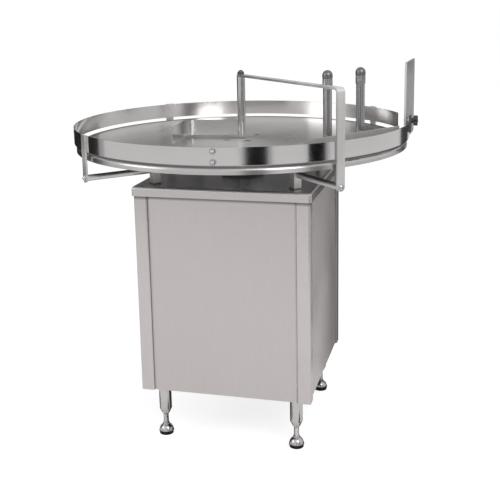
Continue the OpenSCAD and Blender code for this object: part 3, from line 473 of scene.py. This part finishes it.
bar_face = 0.512
rod_level = (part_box("support_rods")[0].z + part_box("support_rods")[1].z) / 2
grip, shank_r, washer_r, washer_t, washer_edge = 0.024, 0.004, 0.009, 0.0016, 0.0003
head_r, head_rise, head_rows, socket_w, socket_deep = 0.0075, 0.0045, 7, 0.005, 0.0028
washer_top = grip + washer_t
steps = [(grip, shank_r), (grip, washer_r - washer_edge), (grip + washer_edge, washer_r),
         (washer_top - washer_edge, washer_r), (washer_top, washer_r - washer_edge),
         (washer_top, head_r)]
ball = (head_r ** 2 + head_rise ** 2) / (2 * head_rise)
for i in range(1, head_rows):
    wide = head_r * (1 - i / head_rows)
    steps.append((washer_top + head_rise - ball + math.sqrt(ball ** 2 - wide ** 2), wide))
bolt = socket_bolt("bolt", (0, 0, -grip), shank_r, steps, socket_w, socket_deep)
set_in = Matrix.Translation((bar_face, 0, rod_level)) @ Matrix.Rotation(math.radians(90), 4, "Y")
rod_bolts = joined("socket_rod_bolts", [copied(bolt, "bolt", turn @ set_in) for turn in turns])
bpy.data.objects.remove(bolt)
rod_bolts.data.materials.append(bolt_steel)
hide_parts("rod_bolts")
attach(rod_bolts, "cabinet")


# Bars: flat bar with round lower ends screwed to the band, one of them bent over the disc.
# The bar is brushed along its length.
bar_steel = steel("bar_steel", (0.62, 0.61, 0.60), 0.46, (700, 700, 8), shade=0.08)
dress(bar_steel, "band_bars", "overhead_bar")
dress(bolt_steel, "flat_screws")


# Guard band: polished stainless strip rolled to a ring in two parts, screwed to the bars.
# The rolling leaves faint lines along the strip.
band_steel = steel("band_steel", (0.72, 0.705, 0.70), 0.12, (6, 6, 1800), shade=0.05, bump=0.03)
dress(band_steel, "band_front", "band_rear")


# Disc: spun stainless sheet with a rolled-down rim, brushed in rings as it turned on the lathe.
# It is screwed to the hub. Painted shade darkens the outer ring of its rolled rim under the band,
# and its underside is painted near black as painted shade.
ring_density, ring_depth = 420.0, 0.0002
# Painted shade: the underside inside the rim is near black.
under_level, under_r, underside_painted_shade = 0.8985, 0.4965, (0.04, 0.04, 0.04, 1)
# Painted shade: a dark ring on the rolled rim, under the band's lower edge.
rim_shade_start_r, rim_shade_full_r, rim_painted_shade = 0.470, 0.478, (0.10, 0.098, 0.095, 1)
roll_low, roll_high = 0.8970, 0.8995
disc_steel, put, tie, face = new_finish("disc_steel")
face.inputs["Metallic"].default_value = 1.0
face.inputs["Anisotropic"].default_value = 0.65
face.inputs["Anisotropic Rotation"].default_value = 0.25
where = put("ShaderNodeTexCoord").outputs["Object"]
flat = put("ShaderNodeVectorMath")
flat.operation = "MULTIPLY"
flat.inputs[1].default_value = (1, 1, 0)
tie(where, flat.inputs[0])
radius = put("ShaderNodeVectorMath")
radius.operation = "LENGTH"
tie(flat.outputs["Vector"], radius.inputs[0])
ring = put("ShaderNodeVectorMath")
ring.operation = "NORMALIZE"
tie(flat.outputs["Vector"], ring.inputs[0])
split = put("ShaderNodeSeparateXYZ")
tie(ring.outputs["Vector"], split.inputs["Vector"])
wound = put("ShaderNodeCombineXYZ")
far = put("ShaderNodeMath")
far.operation = "MULTIPLY"
far.inputs[1].default_value = ring_density
tie(radius.outputs["Value"], far.inputs[0])
tie(far.outputs["Value"], wound.inputs["X"])
tie(split.outputs["X"], wound.inputs["Y"])
tie(split.outputs["Y"], wound.inputs["Z"])
rings = put("ShaderNodeTexNoise")
rings.inputs["Scale"].default_value = 1.0
rings.inputs["Detail"].default_value = 1.5
tie(wound.outputs["Vector"], rings.inputs["Vector"])
cloud = put("ShaderNodeTexNoise")
cloud.inputs["Scale"].default_value = 5.0
cloud.inputs["Detail"].default_value = 2.0
tie(where, cloud.inputs["Vector"])
both = put("ShaderNodeMath")
both.operation = "ADD"
tie(rings.outputs["Fac"], both.inputs[0])
tie(cloud.outputs["Fac"], both.inputs[1])
spread = put("ShaderNodeMapRange")
spread.inputs["From Min"].default_value = 0.7
spread.inputs["From Max"].default_value = 1.3
tie(both.outputs["Value"], spread.inputs["Value"])
tone = put("ShaderNodeValToRGB")
tone.color_ramp.elements[0].color = (0.47, 0.46, 0.455, 1)
tone.color_ramp.elements[1].color = (0.52, 0.51, 0.505, 1)
tie(spread.outputs["Result"], tone.inputs["Fac"])
depth = put("ShaderNodeSeparateXYZ")
tie(where, depth.inputs["Vector"])
below = put("ShaderNodeMath")
below.operation = "LESS_THAN"
below.inputs[1].default_value = under_level
tie(depth.outputs["Z"], below.inputs[0])
within = put("ShaderNodeMath")
within.operation = "LESS_THAN"
within.inputs[1].default_value = under_r
tie(radius.outputs["Value"], within.inputs[0])
under = put("ShaderNodeMath")
under.operation = "MULTIPLY"
tie(below.outputs["Value"], under.inputs[0])
tie(within.outputs["Value"], under.inputs[1])
sides = put("ShaderNodeMix")
sides.data_type = "RGBA"
sides.inputs["B"].default_value = underside_painted_shade
tie(under.outputs["Value"], sides.inputs["Factor"])
edge = put("ShaderNodeMapRange")
edge.inputs["From Min"].default_value = rim_shade_start_r
edge.inputs["From Max"].default_value = rim_shade_full_r
tie(radius.outputs["Value"], edge.inputs["Value"])
rolled = put("ShaderNodeMapRange")
rolled.inputs["From Min"].default_value = roll_low
rolled.inputs["From Max"].default_value = roll_high
tie(depth.outputs["Z"], rolled.inputs["Value"])
rub_and_painted_light = put("ShaderNodeMath")
rub_and_painted_light.operation = "MULTIPLY"
tie(edge.outputs["Result"], rub_and_painted_light.inputs[0])
tie(rolled.outputs["Result"], rub_and_painted_light.inputs[1])
wear_and_painted_light = put("ShaderNodeMix")
wear_and_painted_light.data_type = "RGBA"
wear_and_painted_light.inputs["B"].default_value = rim_painted_shade
tie(rub_and_painted_light.outputs["Value"], wear_and_painted_light.inputs["Factor"])
tie(tone.outputs["Color"], wear_and_painted_light.inputs["A"])
tie(wear_and_painted_light.outputs["Result"], sides.inputs["A"])
tie(sides.outputs["Result"], face.inputs["Base Color"])
dull = put("ShaderNodeMapRange")
dull.inputs["From Min"].default_value = 0.3
dull.inputs["From Max"].default_value = 0.7
dull.inputs["To Min"].default_value = 0.27
dull.inputs["To Max"].default_value = 0.33
tie(cloud.outputs["Fac"], dull.inputs["Value"])
tie(dull.outputs["Result"], face.inputs["Roughness"])
relief = put("ShaderNodeBump")
relief.inputs["Strength"].default_value = 0.015
relief.inputs["Distance"].default_value = ring_depth
tie(rings.outputs["Fac"], relief.inputs["Height"])
tie(relief.outputs["Normal"], face.inputs["Normal"])
way = put("ShaderNodeTangent")
way.direction_type = "RADIAL"
way.axis = "Z"
tie(way.outputs["Tangent"], face.inputs["Tangent"])
dress(disc_steel, "disc")


# Hub screws: six countersunk screws with hexagon sockets hold the disc on its hub.
# Their heads lie flush in the sheet.
disc_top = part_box("hub_screws")[1].z
hub_screw_at, screw_r, screw_head_r, screw_cone, screw_rim = 0.065, 0.004, 0.008, 0.004, 0.0004
screw_long = disc_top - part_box("hub_screws")[0].z
steps = [(screw_long - screw_cone, screw_r), (screw_long - screw_rim, screw_head_r),
         (screw_long, screw_head_r)]
screw_foot = (hub_screw_at, 0, disc_top - screw_long)
screw = socket_bolt("screw", screw_foot, screw_r, steps, socket_w, socket_deep)
screws = [copied(screw, "screw", Matrix.Rotation(math.radians(60 * i), 4, "Z")) for i in range(6)]
bpy.data.objects.remove(screw)
hub_screws = joined("socket_hub_screws", screws)
hub_screws.data.materials.append(bolt_steel)
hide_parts("hub_screws")
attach(hub_screws, "turntable")


# Lane guide: a strip of polished sheet with two tube posts, bolted inside the band by cap nuts.
# A second, bent strip, the deflector, is welded to the centre post under the overhead bar.
# The lane guide's sheet is painted paler than the deflector's as painted light on its dim face, and
# is rougher.
lane_steel = steel("lane_steel", (0.72, 0.71, 0.70), 0.42, (8, 8, 800), shade=0.06, bump=0.03)
dress(lane_steel, "lane_guide")
strip_steel = steel("strip_steel", (0.64, 0.63, 0.62), 0.20, (8, 8, 800), shade=0.06, bump=0.03)
dress(strip_steel, "deflector")
tube_steel = steel("tube_steel", (0.37, 0.365, 0.37), 0.27, (200, 200, 1500), shade=0.07)
dress(tube_steel, "guide_posts")
bright_tube = steel("bright_tube", (0.60, 0.59, 0.59), 0.16, (200, 200, 1500), shade=0.05)
dress(bright_tube, "centre_post")
dress(bolt_steel, "lane_screws", "lane_nuts")


# Clamp plate of the outlet plate, and the nut over the centre post: blackened steel.
# They are cut from bar, and the black is rubbed through in places.
black_steel = steel("black_steel", (0.11, 0.11, 0.12), 0.36, (500, 500, 500), shade=0.45,
                    cloudy=120.0)
dress(black_steel, "clamp_plate", "post_nut")


# Post caps: turned from grey steel and screwed onto the posts. The lower half is knurled for the
# fingers and worn brighter than the dome.
dome_tall, tone_step = 0.023, 0.002
cap_steel, put, tie, face = new_finish("cap_steel")
face.inputs["Metallic"].default_value = 1.0
knurl_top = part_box("post_cap_1")[1].z - dome_tall
where = put("ShaderNodeTexCoord").outputs["Object"]
height = put("ShaderNodeSeparateXYZ")
tie(where, height.inputs["Vector"])
share = put("ShaderNodeMapRange")
share.inputs["From Min"].default_value = knurl_top - tone_step
share.inputs["From Max"].default_value = knurl_top + tone_step
tie(height.outputs["Z"], share.inputs["Value"])
rub_and_painted_light = put("ShaderNodeTexNoise")
rub_and_painted_light.inputs["Scale"].default_value = 160.0
rub_and_painted_light.inputs["Detail"].default_value = 6.0
rub_and_painted_light.inputs["Roughness"].default_value = 0.7
tie(where, rub_and_painted_light.inputs["Vector"])
both = put("ShaderNodeMix")
both.data_type = "RGBA"
tie(share.outputs["Result"], both.inputs["Factor"])
for half, low_at, low_colour, high_at, high_colour in (
    ("A", 0.35, (0.17, 0.17, 0.175, 1), 0.65, (0.50, 0.49, 0.49, 1)),
    ("B", 0.30, (0.11, 0.11, 0.12, 1), 0.70, (0.21, 0.21, 0.225, 1)),
):
    tone = put("ShaderNodeValToRGB")
    low_end, high_end = tone.color_ramp.elements
    low_end.position, low_end.color = low_at, low_colour
    high_end.position, high_end.color = high_at, high_colour
    tie(rub_and_painted_light.outputs["Fac"], tone.inputs["Fac"])
    tie(tone.outputs["Color"], both.inputs[half])
tie(both.outputs["Result"], face.inputs["Base Color"])
dull = put("ShaderNodeMapRange")
dull.inputs["To Min"].default_value = 0.28
dull.inputs["To Max"].default_value = 0.48
tie(rub_and_painted_light.outputs["Fac"], dull.inputs["Value"])
tie(dull.outputs["Result"], face.inputs["Roughness"])
relief = put("ShaderNodeBump")
relief.inputs["Strength"].default_value = 0.15
relief.inputs["Distance"].default_value = 0.0003
tie(rub_and_painted_light.outputs["Fac"], relief.inputs["Height"])
tie(relief.outputs["Normal"], face.inputs["Normal"])
cap_low, cap_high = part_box("post_cap_1")
cap_at = (cap_low + cap_high) / 2
cap_at.z = cap_low.z
cap_tall = cap_high.z - cap_low.z
cap_r, cap_foot, cap_chamfer, dome_lean = 0.014, 0.001, 0.0008, 9.8
knurl_rise, grip_tall, grip_rows, groove_r = 0.0007, 0.022, 9, cap_r - 0.0016
grip_r = cap_r - knurl_rise
steps = [(cap_foot, grip_r)]
steps += [(cap_foot + grip_tall * (i + 1) / grip_rows, grip_r) for i in range(grip_rows)]
steps += [(grip_tall + 0.0012, groove_r), (grip_tall + 0.0022, groove_r),
          (grip_tall + 0.003, cap_r), (cap_tall - cap_r, cap_r)]
for i in range(1, 10):
    lean = math.radians(dome_lean * i)
    steps.append((cap_tall - cap_r + cap_r * math.sin(lean), cap_r * math.cos(lean)))
cap_1 = turned("knurled_cap_1", cap_at, grip_r - cap_chamfer, steps)
knurl_low, knurl_high = cap_at.z + cap_foot, cap_at.z + cap_foot + grip_tall
pick(cap_1, lambda face: abs(face.normal.z) < 0.1 and knurl_low < face.center.z < knurl_high)
bpy.ops.mesh.poke(offset=knurl_rise)
bpy.ops.object.mode_set(mode="OBJECT")
stud_r, stud_deep = 0.0085, 0.036
pick(cap_1, lambda face: face.normal.z < -0.9)
bpy.ops.mesh.inset(thickness=grip_r - cap_chamfer - stud_r)
bpy.ops.mesh.extrude_region_move(TRANSFORM_OT_translate={"value": (0, 0, stud_deep)})
bpy.ops.object.mode_set(mode="OBJECT")
cap_1.data.materials.append(cap_steel)
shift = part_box("post_cap_2")[0] - cap_low
cap_2 = copied(cap_1, "knurled_cap_2", Matrix.Translation(shift))
for cap, number in ((cap_1, "1"), (cap_2, "2")):
    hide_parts("post_cap_" + number)
    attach(cap, "cap_" + number)


# Outlet plate: a satin stainless plate with a slot, cut from sheet, that slides on its clamp bolt.
# A star knob of black plastic on the bolt holds it.
plate_steel = steel("plate_steel", (0.76, 0.755, 0.75), 0.30, (500, 500, 10), shade=0.06)
dress(plate_steel, "gate_plate")
dress(bolt_steel, "clamp_bolt")
dress(black_plastic, "star_knob")


# Control box: a grey case and cover moulded in plastic and screwed together, on the rear panel.
# It carries a switch, a speed dial and a cable gland, and a groove shows where its cover fits.
case_round, cover_round, cover_deep, seam_wide, seam_rim, seam_deep = (
    0.006, 0.0025, 0.016, 0.0016, 0.0002, 0.0012)
box_plastic = moulded("box_plastic", (0.30, 0.31, 0.32), 0.50, 1100.0, 0.18)
dress(black_plastic, "power_switch", "speed_dial", "cable_gland")
box_low, box_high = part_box("control_box")
bpy.ops.object.select_all(action="DESELECT")
bpy.ops.mesh.primitive_cube_add(size=1, location=(box_low + box_high) / 2)
control_case = bpy.context.object
control_case.name = control_case.data.name = "control_case"
control_case.scale = box_high - box_low
bpy.ops.object.transform_apply(location=True, rotation=True, scale=True)
bpy.ops.object.mode_set(mode="EDIT")
bpy.ops.mesh.select_mode(type="EDGE")
bpy.ops.mesh.select_all(action="DESELECT")
bpy.ops.object.mode_set(mode="OBJECT")
for edge in control_case.data.edges:
    one, two = (control_case.data.vertices[i].co for i in edge.vertices)
    edge.select = abs(one.y - two.y) > 0.01
bpy.ops.object.mode_set(mode="EDIT")
bpy.ops.mesh.bevel(offset=case_round, segments=5, affect="EDGES")
bpy.ops.object.mode_set(mode="OBJECT")
pick(control_case, lambda face: face.normal.y > 0.9)
bpy.ops.mesh.region_to_loop()
bpy.ops.mesh.bevel(offset=cover_round, segments=3, affect="EDGES")
seam_at = box_high.y - cover_deep
for level in (seam_at, seam_at + seam_wide):
    bpy.ops.mesh.select_all(action="SELECT")
    bpy.ops.mesh.bisect(plane_co=(0, level, 0), plane_no=(0, 1, 0))
bpy.ops.object.mode_set(mode="OBJECT")
pick(control_case, lambda face: (
    abs(face.normal.y) < 0.1 and seam_at < face.center.y < seam_at + seam_wide))
bpy.ops.mesh.inset(thickness=seam_rim, depth=-seam_deep)
bpy.ops.object.mode_set(mode="OBJECT")
bpy.ops.object.shade_smooth_by_angle(angle=math.radians(35))
control_case.data.materials.append(box_plastic)
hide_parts("control_box")
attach(control_case, "cabinet")


# Box screws: four small round-headed screws hold the control box's cover at its corners.
# They are the same stainless steel as the other bolts.
in_cover, small_r, small_socket_w, small_socket_deep, inset_by = 0.003, 0.002, 0.002, 0.001, 0.009
steps = [(in_cover, small_r), (in_cover, 0.0032), (0.0036, 0.0034), (0.0044, 0.0030),
         (0.0048, 0.0022)]
screw = socket_bolt("screw", (0, 0, -in_cover), small_r, steps, small_socket_w, small_socket_deep)
lie = Matrix.Rotation(math.radians(-90), 4, "X")
screws = [copied(screw, "screw", Matrix.Translation((x, box_high.y, z)) @ lie)
          for x in (box_low.x + inset_by, box_high.x - inset_by)
          for z in (box_low.z + inset_by, box_high.z - inset_by)]
bpy.data.objects.remove(screw)
box_screws = joined("box_screws", screws)
box_screws.data.materials.append(bolt_steel)
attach(box_screws, "cabinet")


# Dial scale: eleven raised strokes moulded on the cover round the speed dial, painted white.
# They run from the slow stop to the fast stop.
dial_low, dial_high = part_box("speed_dial")
dial_at = (dial_low + dial_high) / 2
stroke_at, stroke_size, stroke_round = 0.0215, (0.0010, 0.0008, 0.0040), 0.0002
stroke_count, slow_stop, stroke_step = 11, -135, 27
bpy.ops.object.select_all(action="DESELECT")
bpy.ops.mesh.primitive_cube_add(size=1, location=(0, 0, stroke_at))
stroke = bpy.context.object
stroke.scale = stroke_size
bpy.ops.object.transform_apply(location=True, rotation=True, scale=True)
bpy.ops.object.mode_set(mode="EDIT")
bpy.ops.mesh.select_all(action="SELECT")
bpy.ops.mesh.bevel(offset=stroke_round, segments=2, affect="EDGES")
bpy.ops.object.mode_set(mode="OBJECT")
dial_centre = Matrix.Translation((dial_at.x, box_high.y, dial_at.z))
strokes = []
for i in range(stroke_count):
    turn = Matrix.Rotation(math.radians(slow_stop + stroke_step * i), 4, "Y")
    strokes.append(copied(stroke, "stroke", dial_centre @ turn))
bpy.data.objects.remove(stroke)
dial_scale = joined("dial_scale", strokes)
scale_paint = moulded("scale_paint", (0.72, 0.72, 0.70), 0.45, 900.0, 0.1)
dial_scale.data.materials.append(scale_paint)
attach(dial_scale, "cabinet")


# Floor: a pale matt sheet that keeps the soft shadow. To the lens it is nearly white, and the steel
# sees it as it is lit, a little lifted.
floor_size, floor_drop, reflected_lift, camera_glow = 60.0, 0.0005, 0.22, 0.79
bpy.ops.mesh.primitive_plane_add(size=floor_size, location=(0, 0, -floor_drop))
floor = bpy.context.object
floor.name = "floor"
floor_paper = bpy.data.materials.new("floor_paper")
floor_paper.use_nodes = True
put, tie = floor_paper.node_tree.nodes.new, floor_paper.node_tree.links.new
paper = floor_paper.node_tree.nodes["Principled BSDF"]
paper.inputs["Roughness"].default_value = 0.9
paper.inputs["Specular IOR Level"].default_value = 0.0
paper.inputs["Emission Color"].default_value = (1, 1, 1, 1)
ray = put("ShaderNodeLightPath")
seen = put("ShaderNodeMath")
seen.operation = "MAXIMUM"
tie(ray.outputs["Is Glossy Ray"], seen.inputs[0])
tie(ray.outputs["Is Transmission Ray"], seen.inputs[1])
lift = put("ShaderNodeMath")
lift.operation = "MULTIPLY"
lift.inputs[1].default_value = reflected_lift
tie(seen.outputs["Value"], lift.inputs[0])
glow = put("ShaderNodeMath")
glow.operation = "MULTIPLY_ADD"
glow.inputs[1].default_value = camera_glow
tie(ray.outputs["Is Camera Ray"], glow.inputs[0])
tie(lift.outputs["Value"], glow.inputs[2])
tie(glow.outputs["Value"], paper.inputs["Emission Strength"])
sheet = put("ShaderNodeValToRGB")
sheet.color_ramp.elements[0].color = (0.78, 0.78, 0.78, 1)
sheet.color_ramp.elements[1].color = (0.42, 0.42, 0.42, 1)
tie(ray.outputs["Is Camera Ray"], sheet.inputs["Fac"])
tie(sheet.outputs["Color"], paper.inputs["Base Color"])
floor.data.materials.append(floor_paper)


# Studio: an even pale surround, one large soft lamp in front above on the right, and a weaker one
# on the left. Dark screens and mats, which only reflections show, give the polished band its
# streaks, the legs their edges and the right side its fall of light.
world = bpy.data.worlds.new("studio")
bpy.context.scene.world = world
world.use_nodes = True
put, tie = world.node_tree.nodes.new, world.node_tree.links.new
surround = world.node_tree.nodes["Background"]
surround.inputs["Color"].default_value = (1, 1, 1, 1)
ray = put("ShaderNodeLightPath")
seen = put("ShaderNodeMath")
seen.operation = "MAXIMUM"
tie(ray.outputs["Is Camera Ray"], seen.inputs[0])
tie(ray.outputs["Is Glossy Ray"], seen.inputs[1])
seen_through = put("ShaderNodeMath")
seen_through.operation = "MAXIMUM"
tie(seen.outputs["Value"], seen_through.inputs[0])
tie(ray.outputs["Is Transmission Ray"], seen_through.inputs[1])
level = put("ShaderNodeMapRange")
level.inputs["To Min"].default_value = 0.55
level.inputs["To Max"].default_value = 1.0
tie(seen_through.outputs["Value"], level.inputs["Value"])
tie(level.outputs["Result"], surround.inputs["Strength"])


def soft_lamp(name, at, aim, size, power):
    """A large square lamp turned towards its aim."""
    lamp = bpy.data.lights.new(name, "AREA")
    lamp.shape = "RECTANGLE"
    lamp.size, lamp.size_y = size
    lamp.energy = power
    held = bpy.data.objects.new(name, lamp)
    bpy.context.scene.collection.objects.link(held)
    held.location = at
    back = (held.location - Vector(aim)).normalized()
    held.rotation_euler = back.to_track_quat("Z", "Y").to_euler()


lamp_aim = (0, 0, 0.6)
soft_lamp("key_lamp", (1.9, -2.6, 2.9), lamp_aim, (2.2, 1.6), 70)
soft_lamp("fill_lamp", (-2.8, -2.0, 2.2), lamp_aim, (1.8, 1.8), 25)


def dark_sheet(name, points, faces, grey):
    """A dull sheet beside the set that only the steel's reflections show."""
    sheet = bpy.data.meshes.new(name)
    sheet.from_pydata(points, [], faces)
    screen = bpy.data.objects.new(name, sheet)
    bpy.context.scene.collection.objects.link(screen)
    screen.visible_camera = False
    screen.visible_diffuse = False
    screen.visible_shadow = False
    screen.visible_transmission = False
    cloth = bpy.data.materials.new(name)
    cloth.use_nodes = True
    dull = cloth.node_tree.nodes["Principled BSDF"]
    dull.inputs["Base Color"].default_value = (0, 0, 0, 1)
    dull.inputs["Specular IOR Level"].default_value = 0.0
    dull.inputs["Emission Color"].default_value = (grey, grey, grey, 1)
    dull.inputs["Emission Strength"].default_value = 1.0
    screen.data.materials.append(cloth)


screen_low, screen_bays = 0.005, 8
bays = [(2 * i, 2 * i + 2, 2 * i + 3, 2 * i + 1) for i in range(screen_bays)]
for name, first, last, near, low, far, high, grey in (
    ("screen_lens", 16.6, 29.0, 2.0, screen_low, 3.2, 4.0, 0.0),
    ("screen_lens_left", 14.4, 16.6, 2.0, screen_low, 3.2, 4.0, 0.4),
    ("screen_lens_right", 29.0, 31.6, 2.0, screen_low, 3.2, 4.0, 0.4),
    ("screen_right", 52.8, 63.6, 2.0, screen_low, 3.2, 4.0, 0.0),
    ("screen_right_edge", 63.6, 66, 2.0, screen_low, 3.2, 4.0, 0.4),
    ("screen_far_right", 139, 159, 2.9, screen_low, 3.2, 1.3, 0.05),
    ("screen_far_left", -140, -86, 2.9, screen_low, 3.2, 2.0, 0.02),
    ("screen_far_left_edge", -86, -80, 2.9, screen_low, 3.2, 2.0, 0.4),
    ("screen_rear", 150, 240, 3.2, 0.85, 3.6, 2.6, 0.25),
):
    points = []
    for i in range(screen_bays + 1):
        turn = math.radians(first + (last - first) * i / screen_bays)
        for r, z in ((near, low), (far, high)):
            points.append((r * math.sin(turn), -r * math.cos(turn), z))
    dark_sheet(name, points, bays, grey)
mat_level, one_face = 0.001, [(0, 1, 2, 3)]
for name, left, front, right, rear, grey in (
    ("mat_under", -0.30, -0.19, 0.30, 0.30, 0.05),
    ("mat_right_near", 0.25, 0.75, 2.2, 1.30, 0.62),
    ("mat_right_far", 0.25, 1.30, 2.2, 4.5, 0.66),
    ("mat_left_leg", -0.14, -0.325, 0.02, -0.24, 0.02),
    ("mat_right_leg", 0.28, -0.325, 0.43, -0.24, 0.02),
    ("mat_left_edge", -0.50, -0.22, -0.38, 0.02, 0.05),
):
    ends = ((left, front), (right, front), (right, rear), (left, rear))
    dark_sheet(name, [(x, y, mat_level) for x, y in ends], one_face, grey)
corner_left, corner_right, corner_back, corner_high = 0.268, 0.40, 0.34, 0.78
ends = ((corner_left, screen_low), (corner_right, screen_low),
        (corner_right, corner_high), (corner_left, corner_high))
dark_sheet("screen_corner", [(x, corner_back, z) for x, z in ends], one_face, 0.10)


# Camera: at the photographed angle, a little to the right of the front and above the disc.
# Its lens is shifted down only as far as the framing needs, and nothing is out of focus.
yaw, pitch, roll = math.radians(-14.5656), math.radians(11.8137), math.radians(-1.0474)
stand = Vector((0.70914, -2.64157, 1.33000))
image_width, focal_pixels, film_width = 500.0, 900.0, 36.0
across = Vector((math.cos(yaw), -math.sin(yaw), 0))
ahead = Vector((math.sin(yaw) * math.cos(pitch), math.cos(yaw) * math.cos(pitch), -math.sin(pitch)))
upright = across.cross(ahead)
side = math.cos(roll) * across + math.sin(roll) * upright
up = -math.sin(roll) * across + math.cos(roll) * upright
lens = bpy.data.cameras.new("lens")
lens.sensor_width = film_width
lens.lens = focal_pixels / image_width * film_width
lens.shift_y = -0.135
lens.clip_end = 200.0
camera = bpy.data.objects.new("camera", lens)
bpy.context.scene.collection.objects.link(camera)
camera.matrix_world = Matrix((
    (side.x, up.x, -ahead.x, stand.x),
    (side.y, up.y, -ahead.y, stand.y),
    (side.z, up.z, -ahead.z, stand.z),
    (0, 0, 0, 1)))
bpy.context.scene.camera = camera
bpy.context.scene.view_settings.view_transform = "Standard"
